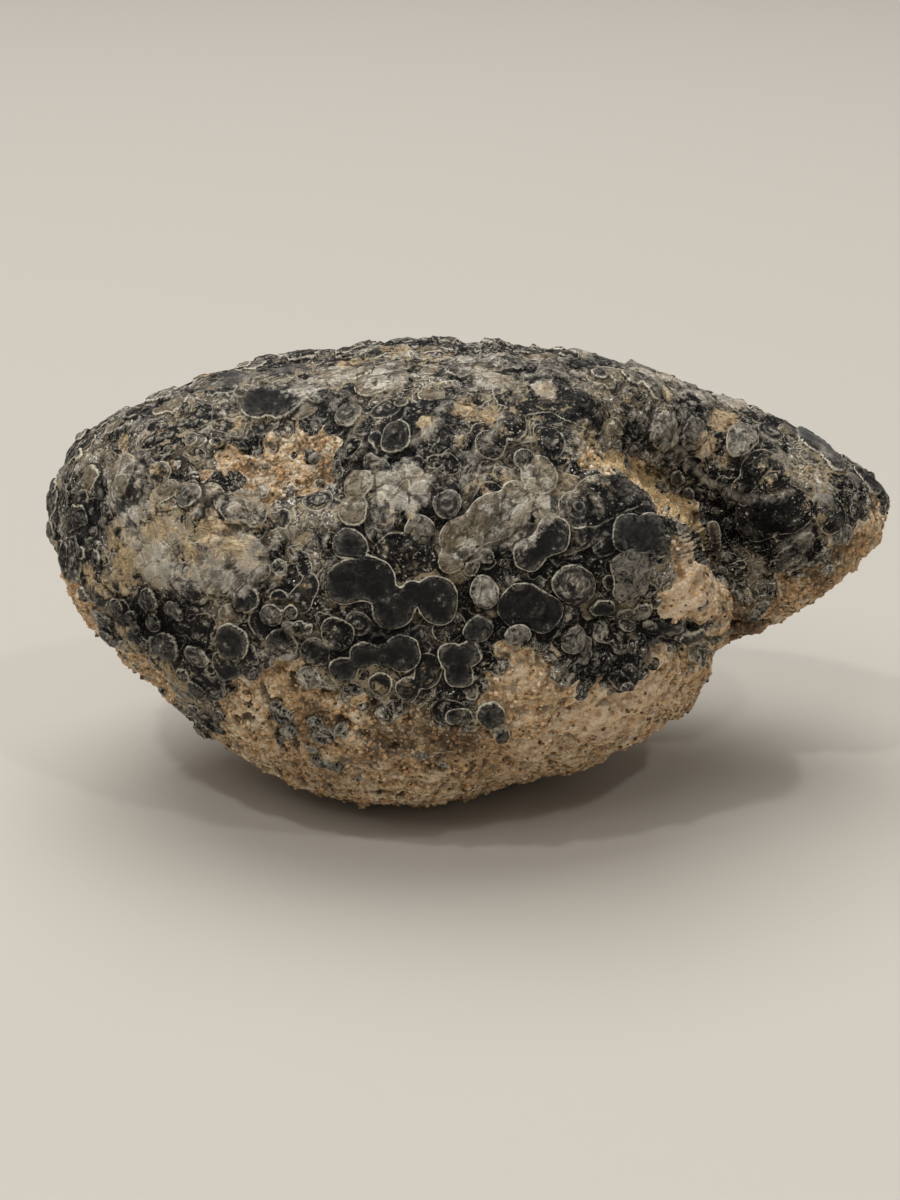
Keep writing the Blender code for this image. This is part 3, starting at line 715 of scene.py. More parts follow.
BLACK_GLASS = [
    (560, 452, 34, 1.0), (600, 474, 26, 1.0), (520, 462, 18, 0.8), (385, 450, 40, 0.8), (345, 470, 20, 0.6),
    (180, 470, 16, 0.9), (205, 492, 18, 1.0), (232, 520, 20, 1.0), (262, 556, 22, 1.0), (290, 590, 24, 1.0),
    (318, 620, 22, 0.9), (400, 540, 28, 1.0), (455, 600, 22, 0.9), (350, 635, 22, 0.8), (430, 640, 22, 0.8),
    (455, 690, 26, 0.9), (580, 540, 30, 0.7), (610, 640, 34, 0.7), (650, 640, 22, 0.7), (744, 505, 34, 1.0),
    (780, 520, 34, 1.0), (720, 510, 18, 0.9), (700, 415, 10, 0.8), (735, 470, 20, 0.8), (75, 470, 22, 0.6),
    (90, 560, 30, 0.8), (120, 600, 28, 0.9), (170, 640, 34, 0.9), (408, 345, 16, 0.8), (640, 372, 20, 0.6),
    (500, 560, 26, 0.7), (540, 560, 22, 0.7), (690, 525, 14, 0.9), (230, 680, 24, 0.8), (150, 590, 22, 0.7),
    (620, 600, 26, 0.6), (300, 620, 24, 0.8), (130, 440, 20, 0.6), (65, 500, 18, 0.7), (690, 630, 18, 0.7),
]
PALE_SAND = [(695, 588, 36, 1.2), (620, 705, 50, 0.9), (560, 740, 40, 0.4), (716, 640, 20, 0.6)]
# Spots where the bare sand is darker, mostly low on the belly and under the wing.
DARKER_SAND_SPOTS = [
    (430, 732, 44, 1.1), (370, 745, 40, 0.7), (300, 715, 40, 0.6), (262, 476, 40, 0.5), (835, 560, 44, 0.9),
    (780, 600, 40, 0.6), (320, 770, 40, 0.4), (480, 760, 40, 0.4),
]
# Spots of painted sheen: bluish grey where the overhead light glances off the smooth glass near the top edge.
PAINTED_SHEEN_SPOTS = [
    (800, 440, 24, 0.7), (826, 462, 20, 0.8), (846, 480, 14, 0.8), (778, 462, 12, 0.7), (640, 370, 26, 0.8),
    (600, 359, 20, 0.7), (688, 386, 14, 0.8), (240, 386, 22, 0.8), (205, 398, 18, 0.8), (290, 372, 20, 0.7),
    (560, 356, 18, 0.6), (820, 500, 14, 0.6), (150, 430, 16, 0.5),
]

# %% The zones as fields: spots, the noise's seed and the strength on the back
ZONES = {
    "knobby": (KNOBBY, 83, 0.4), "frost": (FROST, 81, 0.3), "dust": (TAN_DUST, 82, 0.1),
    "glass": (BLACK_GLASS, 84, 0.5), "painted_sheen": (PAINTED_SHEEN_SPOTS, 85, 0.15), "pale_sand": (PALE_SAND, 86, 0.1),
    "blotches": (DARKER_SAND_SPOTS, 87, 0.3),
}
ZONE_TURN = 12.0
ZONE_NOISE = 7.0
ZONE_RAGGED, LEAST_RAGGED = 0.3, 0.3
ZONE_FALL = 0.7
MOST_STRENGTH = 1.2


def patches(places, spots, seed, hidden):
    """The strongest of the soft round spots at each place, or the back's strength, broken up by noise."""
    total = hidden * smooth_step(-places[:, 2] / ZONE_TURN)
    for centre, (*_, radius, strength) in zip(on_face([spot[:3] for spot in spots]), spots):
        off = np.linalg.norm(places - centre, axis=1) / (radius * CELL)
        total = np.maximum(total, strength * np.exp(-ZONE_FALL * off ** 4))
    ragged = ZONE_RAGGED * wave_noise(places, ZONE_NOISE, seed) * (LEAST_RAGGED + total)
    return np.clip(total + ragged, 0.0, MOST_STRENGTH)


# %% [markdown]
# ## Relief
# Each layer lifts the surface to its own level inside its plates' rims, up a quarter-round edge, so an
# upper plate lies flat over whatever is under it. On top come the small things that make the skin
# look grown: a raised lip at the rim, a groove where two plates meet, growth rings, a domed middle,
# beads, knobs and wandering folds. Frosted masses then bury the plates in places, and the thin ridges
# run over everything. The matrix is lumpy with sand and pitted.

# %% From the bare stone to its finished surface
LEVELS = {"bed": 0.4, "low": 0.7, "middle": 1.0, "top": 1.35}
EDGE_WIDTH = 0.38
BED_SET_BACK = 1.3
DISHED_TONES, DISH = (0.3, 0.5), -0.05
DOME, DOME_WIDTH = 0.32, 1.6
LIP_HEIGHT, LIP_AT, LIP_WIDTH = 0.1, 0.26, 0.16
GROOVE_DEPTH, GROOVE_WIDTH = 0.14, 0.2
RINGED_TONES, RING_HEIGHT, RING_SPACING = (0.5, 0.7), 0.04, 0.67
ROUGH_TONES, LEAST_ROUGH = 0.7, 0.35
BEAD_HEIGHT, BEAD_EDGE = 0.18, 0.5
RIDGE_HEIGHT = 0.14
FLOW_RIDGE_HEIGHT = 0.16
MASS_LEVEL = 1.15
MASS_COVERS = 0.85
RIDGE_THINNED = 0.22
CRUMB_HEIGHTS = (0.3, 0.2)
KNOB_HEIGHTS = (0.34, 0.14)
SKIN_HEIGHT = 0.08
KNOB_MIDDLE = 0.6
PIT_ABOVE, PIT_SHARPNESS, PIT_DEPTH = 0.36, 3.0, 0.8
MATRIX_LUMPS = [(5.0, 0.35), (2.6, 0.22)]
MATRIX_SEED = 31
KNOBS = {"clump": (1.5, 51), "small clump": (0.8, 52), "knob": (1.9, 53), "small knob": (0.9, 54)}
PIT_GRAIN = (1.9, 57)
SKIN_GRAIN = (1.1, 56)
SHADE_AT, SHADE_WIDTH, SHADE_FROM = 3.2, 3.2, 0.4
CLIFF_MARGIN, CLIFF_ENDS = 1.2, 0.58
WARPS = [(5.5, 0.5), (2.4, 0.26), (1.1, 0.12)]
RAGGED = [(2.3, 0.45), (1.1, 0.35)]
RAGGED_SEED = 61
SWIRL = (6.5, 2.6)
FOLD_SIZE = 3.1
FOLD_WIDTH = 0.15
WARP_SEED = 40
SWIRL_SEED = 70


def pushes(places, size, seed):
    """Lattice noise along each of the three axes."""
    return np.stack([grain_noise(places, size, seed + axis) for axis in range(3)], axis=1)


def warped(places):
    """Places pushed a little to and fro, so that discs grow with uneven rims."""
    push = np.zeros_like(places)
    for n, (size, strength) in enumerate(WARPS):
        push += strength * pushes(places, size, WARP_SEED + 3 * n)
    return places + push


def matrix_lumps(places):
    """The broad lumps of the bare matrix."""
    return sum(lump * wave_noise(places, size, MATRIX_SEED + n)
               for n, (size, lump) in enumerate(MATRIX_LUMPS))


def flow_ridges(places):
    """Thin ridges that wander like folds in a skin: 1 where swirled noise crosses zero, and 0 beside it."""
    size, strength = SWIRL
    swirled = places + strength * pushes(places, size, SWIRL_SEED)
    return np.clip(1.0 - np.abs(grain_noise(swirled, FOLD_SIZE, SWIRL_SEED + 3)) / FOLD_WIDTH, 0.0, 1.0)


def quarter_round(depth, width):
    """0 at a rim and 1 at a width inside it, along a quarter circle."""
    return np.sqrt(1.0 - (1.0 - np.clip(depth / width, 0.0, 1.0)) ** 2)


def plate_top(level, depth, seam, tone):
    """A plate's level with its own shape on it: a dome, or a dish by its tone, a lip, a groove and rings."""
    dished = (tone > DISHED_TONES[0]) & (tone < DISHED_TONES[1])
    dome = np.where(dished, DISH, DOME) * smooth_step(depth / DOME_WIDTH)
    lip = LIP_HEIGHT * np.exp(-((depth - LIP_AT) / LIP_WIDTH) ** 2)
    groove = -GROOVE_DEPTH * np.exp(-(seam / GROOVE_WIDTH) ** 2) * smooth_step(depth / 0.3)
    rings = RING_HEIGHT * np.sin(2.0 * math.pi * depth / RING_SPACING) * smooth_step(depth / 0.4)
    rings = rings * ((tone > RINGED_TONES[0]) & (tone < RINGED_TONES[1]))
    return level + dome + lip + groove + rings


def wing_fields(places):
    """The shade that the lobe throws on the wing, and the golden cliff of the ledge's own wall."""
    past, along = past_ledge(places[:, 0], places[:, 1])
    shade = np.exp(-((past - SHADE_AT) / SHADE_WIDTH) ** 2) * smooth_step((past + 0.2) / 0.8)
    cliff = smooth_step((past + 0.4) / 0.6) * smooth_step(wall_width(along) + CLIFF_MARGIN - past)
    cliff = cliff * smooth_step(along / 0.12) * smooth_step((CLIFF_ENDS - along) / 0.1)
    return {"shade": shade * smooth_step((along - SHADE_FROM) / 0.15), "cliff": cliff * (places[:, 2] > 0.0)}


def relief(places):
    """Height of the finished surface over the bare stone, and the fields that the finish is painted by."""
    spots = warped(places)
    clump, clump_crack, clump_tone = knobs(spots, *KNOBS["clump"])
    small_clump, _, _ = knobs(spots, *KNOBS["small clump"])
    knob, knob_crack, knob_tone = knobs(spots, *KNOBS["knob"])
    small_knob, _, _ = knobs(spots, *KNOBS["small knob"])
    folds = flow_ridges(places)
    sand = matrix_lumps(places)
    pit = smooth_step(PIT_SHARPNESS * (grain_noise(spots, *PIT_GRAIN) - PIT_ABOVE))
    crumbs = CRUMB_HEIGHTS[0] * (clump - KNOB_MIDDLE)
    small_crumbs = CRUMB_HEIGHTS[1] * (small_clump - KNOB_MIDDLE)
    sand = sand + crumbs + small_crumbs - PIT_DEPTH * pit
    fields = {"clump_crack": clump_crack, "clump_tone": clump_tone, "pit": pit, "knob_crack": knob_crack,
              "knob_tone": knob_tone, "folds": folds}
    fields.update({name: patches(places, *zone) for name, zone in ZONES.items()})
    knobbed = KNOB_HEIGHTS[0] * (knob - KNOB_MIDDLE) + KNOB_HEIGHTS[1] * (small_knob - KNOB_MIDDLE)
    grown = fields["knobby"] * knobbed + SKIN_HEIGHT * grain_noise(places, *SKIN_GRAIN)
    height = sand
    for name, level in LEVELS.items():
        depth, seam, tone = plate_fields(spots, LAYERS[name])
        rough = grown * np.where(tone > ROUGH_TONES, 1.0, LEAST_ROUGH)
        if name == "bed":
            depth = np.maximum(depth, crust_reach(spots) - BED_SET_BACK)
            depth = np.maximum(depth, plate_fields(spots, LAYERS["fringe"])[0])
            depth = depth + sum(push * grain_noise(places, size, RAGGED_SEED + n)
                                for n, (size, push) in enumerate(RAGGED))
            rough = grown + FLOW_RIDGE_HEIGHT * folds
        surface = plate_top(level, depth, seam, tone) + rough
        height = height + (surface - height) * quarter_round(depth, EDGE_WIDTH)
        fields[name] = depth
        fields[name + "_seam"] = seam
        fields[name + "_tone"] = tone
    bead, _, _ = plate_fields(spots, LAYERS["bead"])
    height = height + BEAD_HEIGHT * quarter_round(bead, BEAD_EDGE)
    cover = MASS_COVERS * smooth_step((fields["frost"] - 0.45) / 0.3) * smooth_step(fields["bed"] / 0.3)
    height = height + (MASS_LEVEL + 0.5 * (knob - KNOB_MIDDLE) - height) * cover
    ridge = plate_fields(0.5 * (places + spots), LAYERS["ridge"])[0] - RIDGE_THINNED
    height = height + RIDGE_HEIGHT * smooth_step((ridge + 0.3) / 0.4)
    return height, {**fields, "ridge": ridge, **wing_fields(places)}


# %% Where the surface stands above its surroundings
def stands_above(values, quads, rounds):
    """How far each point's value is above the mean round it, taken over so many rounds of neighbours."""
    corners = quads.ravel()
    touching = np.bincount(corners, minlength=len(values))
    mean = values
    for _ in range(rounds):
        mean = np.bincount(corners, np.repeat(mean[quads].mean(axis=1), 4), len(values)) / touching
    return values - mean


# %% Standing the stone up and setting it down where the solid is
def stood_up(places):
    """Upright axes from face axes: the face leans back, so its up tips away and its forward tips upward."""
    lean = math.radians(FACE_LEAN)
    right, up, forward = places.T
    return np.stack([
        right,
        up * math.sin(lean) - forward * math.cos(lean),
        up * math.cos(lean) + forward * math.sin(lean)], axis=1)


COARSE = (91, 51, 1.25)
COARSE_EDGE = 1.6


def solid_shift():
    """How far the solid was moved when it was set down: where its box is, less where it was before."""
    used, quads = folded_faces(*COARSE[:2])
    angle, tilt = folded_square(*COARSE)
    bare = bare_stone(angle[used], tilt[used])
    height = matrix_lumps(bare)
    for name, level in LEVELS.items():
        depth, _, _ = plate_fields(bare, LAYERS[name])
        height = height + (level - height) * quarter_round(depth, COARSE_EDGE)
    raw = stood_up(bare + outward(bare, quads) * height[:, None])
    low, high = (np.array(corner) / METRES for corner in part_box("geode"))
    middle = 0.5 * (raw.min(axis=0) + raw.max(axis=0))
    apart = (high - low) - (raw.max(axis=0) - raw.min(axis=0))
    print("solid's size less the repeated one, in mm:", np.round(apart, 3))
    return np.append((0.5 * (low + high) - middle)[:2], -(raw[:, 2].min() + FOOT_CUT))


SHIFT = solid_shift()

# %% The finished surface, point by point
COLUMNS, ROWS, OUTLINE_AT = 421, 229, 1.36
CREST_SCALE = 0.05
SWELL_SCALE = 0.3
CREST_ROUNDS, SWELL_ROUNDS = 3, 24
used, quads = folded_faces(COLUMNS, ROWS)
angle, tilt = folded_square(COLUMNS, ROWS, OUTLINE_AT)
bare = bare_stone(angle[used], tilt[used])
height, fields = relief(bare)
fields["crest"] = np.clip(stands_above(height, quads, CREST_ROUNDS) / CREST_SCALE, -1.0, 1.0)
fields["swell"] = np.clip(stands_above(height, quads, SWELL_ROUNDS) / SWELL_SCALE, -1.0, 1.0)
normals = outward(bare, quads)
finished = stood_up(bare + normals * height[:, None]) + SHIFT
finished[:, 2] = np.maximum(finished[:, 2], 0.0)
print("points:", len(finished), "quads:", len(quads))
print("relief in mm: from", round(height.min(), 2), "to", round(height.max(), 2))

# %% [markdown]
# ## From arrays to a mesh
# The arrays go into the mesh whole. Every field becomes a number on the points, which the material
# can read, and the unfolded square becomes the UV map that the finish can be baked on.

# %% The stone's mesh
def mesh_piece(name, places, faces, fields, corners=None):
    """A mesh object at the origin, in metres, its fields as point attributes and corners as its UV map."""
    mesh = bpy.data.meshes.new(name)
    mesh.from_pydata((places * METRES).tolist(), [], faces.tolist())
    for field, values in fields.items():
        mesh.attributes.new(field, "FLOAT", "POINT").data.foreach_set("value", values.astype(np.float32))
    if corners is not None:
        mesh.uv_layers.new(name="OFBake").data.foreach_set("uv", corners.astype(np.float32).ravel())
    mesh.shade_smooth()
    piece = bpy.data.objects.new(name, mesh)
    bpy.context.scene.collection.objects.link(piece)
    return piece


stone = mesh_piece("geode_stone", finished, quads, fields, square_corners(COLUMNS, ROWS))
print("stone:", len(stone.data.polygons), "quads")

# %% [markdown]
# ## Shader maths as plain expressions
# A material is a net of nodes, which is hard to read as code. One small class stands for a number or a
# colour somewhere in that net. Python's own signs work on it, and each adds its Math node.

# %% A class that turns expressions into nodes
class Signal:
    """A socket of a node tree that Python's arithmetic works on."""

    def __init__(self, tree, socket):
        self.tree = tree
        self.socket = socket

    def maths(self, operation, *values, clamp=False):
        """One Math node of this signal and other values."""
        node = self.tree.nodes.new("ShaderNodeMath")
        node.operation = operation
        node.use_clamp = clamp
        for socket, value in zip(node.inputs, (self, *values)):
            connect(self.tree, socket, value)
        return Signal(self.tree, node.outputs[0])

    def __add__(self, other):
        return self.maths("ADD", other)

    def __mul__(self, other):
        return self.maths("MULTIPLY", other)

    def __sub__(self, other):
        return self.maths("SUBTRACT", other)

    def __truediv__(self, other):
        return self.maths("DIVIDE", other)

    def __neg__(self):
        return self.maths("MULTIPLY", -1.0)

    def __rsub__(self, other):
        return -self + other

    __radd__ = __add__
    __rmul__ = __mul__

    def clamped(self):
        """This signal, kept between 0 and 1."""
        return self.maths("ADD", 0.0, clamp=True)

    def step(self, start, width):
        """0 below start and 1 a width further up, in a straight ramp."""
        return ((self - start) / width).clamped()

    def near(self, middle, width):
        """1 at a middle value, falling to 0 a width to either side."""
        return (1.0 - (self - middle).maths("ABSOLUTE") / width).clamped()

    def most(self, other):
        """The larger of this signal and another."""
        return self.maths("MAXIMUM", other)


def connect(tree, socket, value):
    """A link from a signal, or a plain value set on the socket."""
    if isinstance(value, Signal):
        tree.links.new(value.socket, socket)
    elif isinstance(value, tuple) and len(value) == 3 and socket.type == "RGBA":
        socket.default_value = (*value, 1.0)
    else:
        socket.default_value = value


# %% A material's node tree, made one node at a time
class Finish:
    """A material whose nodes are made by one method."""

    def __init__(self, name, roughness=0.5, **constants):
        self.material = bpy.data.materials.new(name)
        self.material.use_nodes = True
        self.tree = self.material.node_tree
        self.shader = self.tree.nodes["Principled BSDF"]
        for socket, value in {"Roughness": roughness, **constants}.items():
            self.shader.inputs[socket].default_value = value
        self.places = self.node("ShaderNodeTexCoord", output="Object")

    def node(self, kind, settings=None, inputs=None, output=0):
        """Adds a node, sets its settings first, then its inputs, and gives one of its outputs."""
        node = self.tree.nodes.new(kind)
        for key, value in (settings or {}).items():
            setattr(node, key, value)
        for key, value in (inputs or {}).items():
            connect(self.tree, node.inputs[key], value)
        return Signal(self.tree, node.outputs[output])

    def field(self, name):
        """A number that the mesh carries on its points."""
        return self.node("ShaderNodeAttribute", {"attribute_name": name}, output="Fac")

    def noise(self, size, detail=2.0, roughness=0.5, distortion=0.0):
        """Noise of a size in millimetres."""
        inputs = {"Vector": self.places, "Scale": 1.0 / (size * METRES), "Detail": detail,
                  "Roughness": roughness, "Distortion": distortion}
        return self.node("ShaderNodeTexNoise", None, inputs)

    def cells(self, size, feature="F1", output="Distance"):
        """Voronoi cells of a size in millimetres."""
        inputs = {"Vector": self.places, "Scale": 1.0 / (size * METRES)}
        return self.node("ShaderNodeTexVoronoi", {"feature": feature}, inputs, output)

    def mix(self, share, first, second):
        """One colour turning into another as share goes from 0 to 1."""
        inputs = {0: share, 6: first, 7: second}
        return self.node("ShaderNodeMix", {"data_type": "RGBA"}, inputs, 2)

    def blend(self, share, first, second):
        """One number turning into another as share goes from 0 to 1."""
        return self.node("ShaderNodeMix", {"data_type": "FLOAT"}, {0: share, 2: first, 3: second}, 0)

    def ramp(self, share, stops):
        """A colour read off a ramp of stops, each a place from 0 to 1 and a colour."""
        node = self.tree.nodes.new("ShaderNodeValToRGB")
        elements = node.color_ramp.elements
        while len(elements) < len(stops):
            elements.new(0.5)
        for element, (place, colour) in zip(elements, stops):
            element.position = place
            element.color = (*colour, 1.0)
        connect(self.tree, node.inputs[0], share)
        return Signal(self.tree, node.outputs[0])

    def finish(self, **inputs):
        """Links what varies over the surface to the shader."""
        for key, value in inputs.items():
            connect(self.tree, self.shader.inputs[key.replace("_", " ")], value)
        return self.material


def paint(red, green, blue):
    """A colour as screens give it, 0 to 255, turned into the light that it stands for."""
    levels = (red / 255, green / 255, blue / 255)
    return tuple(((v + 0.055) / 1.055) ** 2.4 if v > 0.04 else v / 12.92 for v in levels)


# %% [markdown]
# ## The skin and the matrix
# The real plates are dark and satin, each a little different, with a thin pale rim where the layer
# ends, and the gaps between them are black. The material lays the layers over one another from the
# bed up, just as they grew: inside a plate's rim its own colour hides what is below. Reading the depth
# fields keeps those rims crisp and exactly on the relief. The zones come last: frosted masses with
# dark cracks, a bluish-grey painted sheen, tan dust, silt in the hollows, and the pale lines along the
# ridges.

# %% The colours of the stone
BLACK = paint(8, 8, 9)
CHARCOAL = paint(29, 29, 29)
# The bluish grey of the painted sheen on the glass.
SHEEN_BLUE = paint(62, 66, 70)
SLATE = paint(84, 80, 74)
GREY = paint(190, 182, 168)
BROWN_GREY = paint(160, 144, 120)
FROSTED = paint(222, 214, 197)
WHITE = paint(255, 252, 244)
CREAM = paint(255, 246, 224)
DUST = paint(226, 204, 168)
YELLOW = paint(222, 196, 148)
TAN = paint(232, 202, 160)
ORANGE = paint(208, 168, 122)
SAND_PALE = paint(250, 234, 206)
SAND_BROWN = paint(146, 117, 84)
SAND_DARK = paint(52, 43, 35)
GOLD = paint(240, 206, 146)
GOLD_BROWN = paint(198, 160, 104)
PINK_SAND = paint(255, 232, 202)

# %% The matrix: crumbs of sand, each its own tone, with painted shade in the gaps
def matrix_colour(f, broad, wide, flow, crest):
    """Crumbs coloured off one ramp, with painted shade in pits, in cracks and in hollows, dark in the lobe's
    shade, golden on the cliff.
    """
    crumbs = f.node("ShaderNodeSeparateColor", None, {0: f.cells(0.8, output="Color")}, 0)
    grains = f.node("ShaderNodeSeparateColor", None, {0: f.cells(0.4, output="Color")}, 0)
    share = f.field("clump_tone") * 0.14 + crumbs * 0.22 + grains * 0.2
    share = (share + (broad - 0.5) * 3.8 + (wide - 0.5) * 0.9 + (flow - 0.5) * 1.3 + 0.32).clamped()
    stops = [(0.0, SAND_DARK), (0.2, SAND_BROWN), (0.4, ORANGE), (0.62, TAN), (0.85, SAND_PALE)]
    colour = f.ramp(share, stops)
    colour = f.mix(wide.step(0.47, 0.12) * 0.45, colour, ORANGE)
    colour = f.mix(wide.near(0.4, 0.08) * 0.35, colour, SAND_PALE)
    # Painted shade: dark at the crumbs' borders, in the cracks between them and in hollows of the sand.
    crumb_shade = f.field("clump_crack").near(0.0, 0.25) * 0.5 + f.cells(0.8).step(0.42, 0.3) * 0.4
    colour = f.mix((crumb_shade + (-crest).step(0.1, 0.7) * 0.5).clamped() * 0.6, colour, SAND_DARK)
    golden = f.mix(flow.step(0.4, 0.3), GOLD_BROWN, f.mix(broad.step(0.4, 0.2), GOLD, YELLOW))
    colour = f.mix(f.field("cliff") * 0.9, colour, golden)
    pink = f.mix(crumbs.step(0.35, 0.5) * 0.6, PINK_SAND, ORANGE)
    colour = f.mix(f.field("pale_sand").clamped() * flow.step(0.3, 0.16) * 0.85, colour, pink)
    # Darker blotches of sand, mostly low on the belly and under the wing.
    colour = f.mix(f.field("blotches") * 0.35, colour, SAND_BROWN)
    blotches = (f.field("blotches") + (flow - 0.5) * 3.0 + (broad - 0.5) * 2.0).step(0.6, 0.4)
    colour = f.mix(blotches * 0.75, colour, SAND_DARK)
    colour = f.mix((f.field("shade") + (broad - 0.5) * 1.5).step(0.25, 0.6) * 0.75, colour, SAND_DARK)
    dots = f.noise(0.6, 2.0, 0.6).step(0.58, 0.05) * (1.0 - broad).step(0.44, 0.12)
    clean = 1.0 - f.field("pale_sand").clamped() * 0.8
    colour = f.mix(dots * clean * 0.8, colour, SAND_DARK)
    colour = f.mix(f.noise(0.7, 2.0, 0.6).step(0.62, 0.06) * 0.6, colour, SAND_PALE)
    colour = f.mix(f.field("cliff") * flow.step(0.46, 0.16) * 0.4, colour, SAND_PALE)
    # Painted shade: the sunken pits are painted dark too.
    return f.mix(f.field("pit") * clean * 0.8, colour, SAND_DARK), crumbs


# %% A plate's own colour, by the look that its tone stands for
def between(tone, low, high):
    """1 where a tone lies between two values."""
    return tone.maths("GREATER_THAN", low) * tone.maths("LESS_THAN", high)


def plate_colour(f, depth, tone, broad, flow):
    """Black, dark, ringed, mottled or brown: dark glass with smoke in it, rings, or paler grains."""
    body = f.mix(between(tone, 0.25, 0.7), BLACK, CHARCOAL)
    smoke = broad.step(0.47, 0.2) * 0.45 + flow.step(0.5, 0.3) * 0.2 - depth.near(0.2, 0.5) * 0.2
    body = f.mix(smoke.clamped() * (1.0 - f.field("glass").clamped() * 0.4), body, SLATE)
    rings = (depth * 1.5).maths("FRACT").near(0.45, 0.25) * between(tone, 0.5, 0.7)
    body = f.mix(rings * (broad + flow).step(0.9, 0.2) * 0.6, body, GREY)
    streaks = flow.step(0.38, 0.26)
    body = f.mix(streaks * between(tone, 0.7, 0.85) * 0.6, body, GREY)
    return f.mix((streaks * 0.55 + 0.25) * between(tone, 0.85, 1.1), body, BROWN_GREY)


# %% The bed: black glass and grey-brown masses, with knobs, folds, growth lines and white painted glints
def bed_colour(f, broad, wide, flow, painted_glints, masses, buds):
    """Black where it is smooth, and grey-brown where noise heaps it up and on the tops of knobs."""
    knobby = f.field("knobby")
    calm = 1.0 - f.field("glass").clamped() * 0.85
    warm = wide.step(0.41, 0.12)
    grown = f.mix(flow.step(0.34, 0.34), SLATE, f.mix(warm, GREY, BROWN_GREY))
    bed = f.mix(masses * 0.8, BLACK, grown)
    bed = f.mix(buds.near(0.0, 0.07) * masses * 0.8, bed, BLACK)
    bed = f.mix(buds.near(0.13, 0.06) * flow.step(0.42, 0.16) * calm * 0.7, bed, f.mix(warm, GREY, CREAM))
    tops = f.field("knob_crack").step(0.1, 0.7) * flow.step(0.3, 0.3)
    knob_colour = f.mix(f.field("knob_tone").step(0.3, 0.4), SLATE, f.mix(warm, GREY, BROWN_GREY))
    bed = f.mix(tops * knobby * calm * 0.85, bed, knob_colour)
    # Painted sheen: bluish patches on the grey-brown masses, where the glass catches the light.
    bed = f.mix(wide.near(0.55, 0.06) * broad.step(0.45, 0.1) * masses * 0.7, bed, SHEEN_BLUE)
    folds = f.field("folds").step(0.45, 0.4) * flow.step(0.42, 0.2) * (0.35 + calm * 0.4)
    bed = f.mix(folds, bed, f.mix(warm, GREY, CREAM))
    lines = (f.noise(2.6, 1.0, 0.4) * 15.0).maths("FRACT").near(0.5, 0.16) * wide.step(0.42, 0.1)
    bed = f.mix(lines * broad.step(0.47, 0.1) * calm * 0.6, bed, GREY)
    # White specks: painted glints, standing for the sparkle of tiny crystals on the glass.
    return f.mix(painted_glints, bed, WHITE)


# %% The stone's material
SWAY = 1.6
BUD_CELLS = 1.5


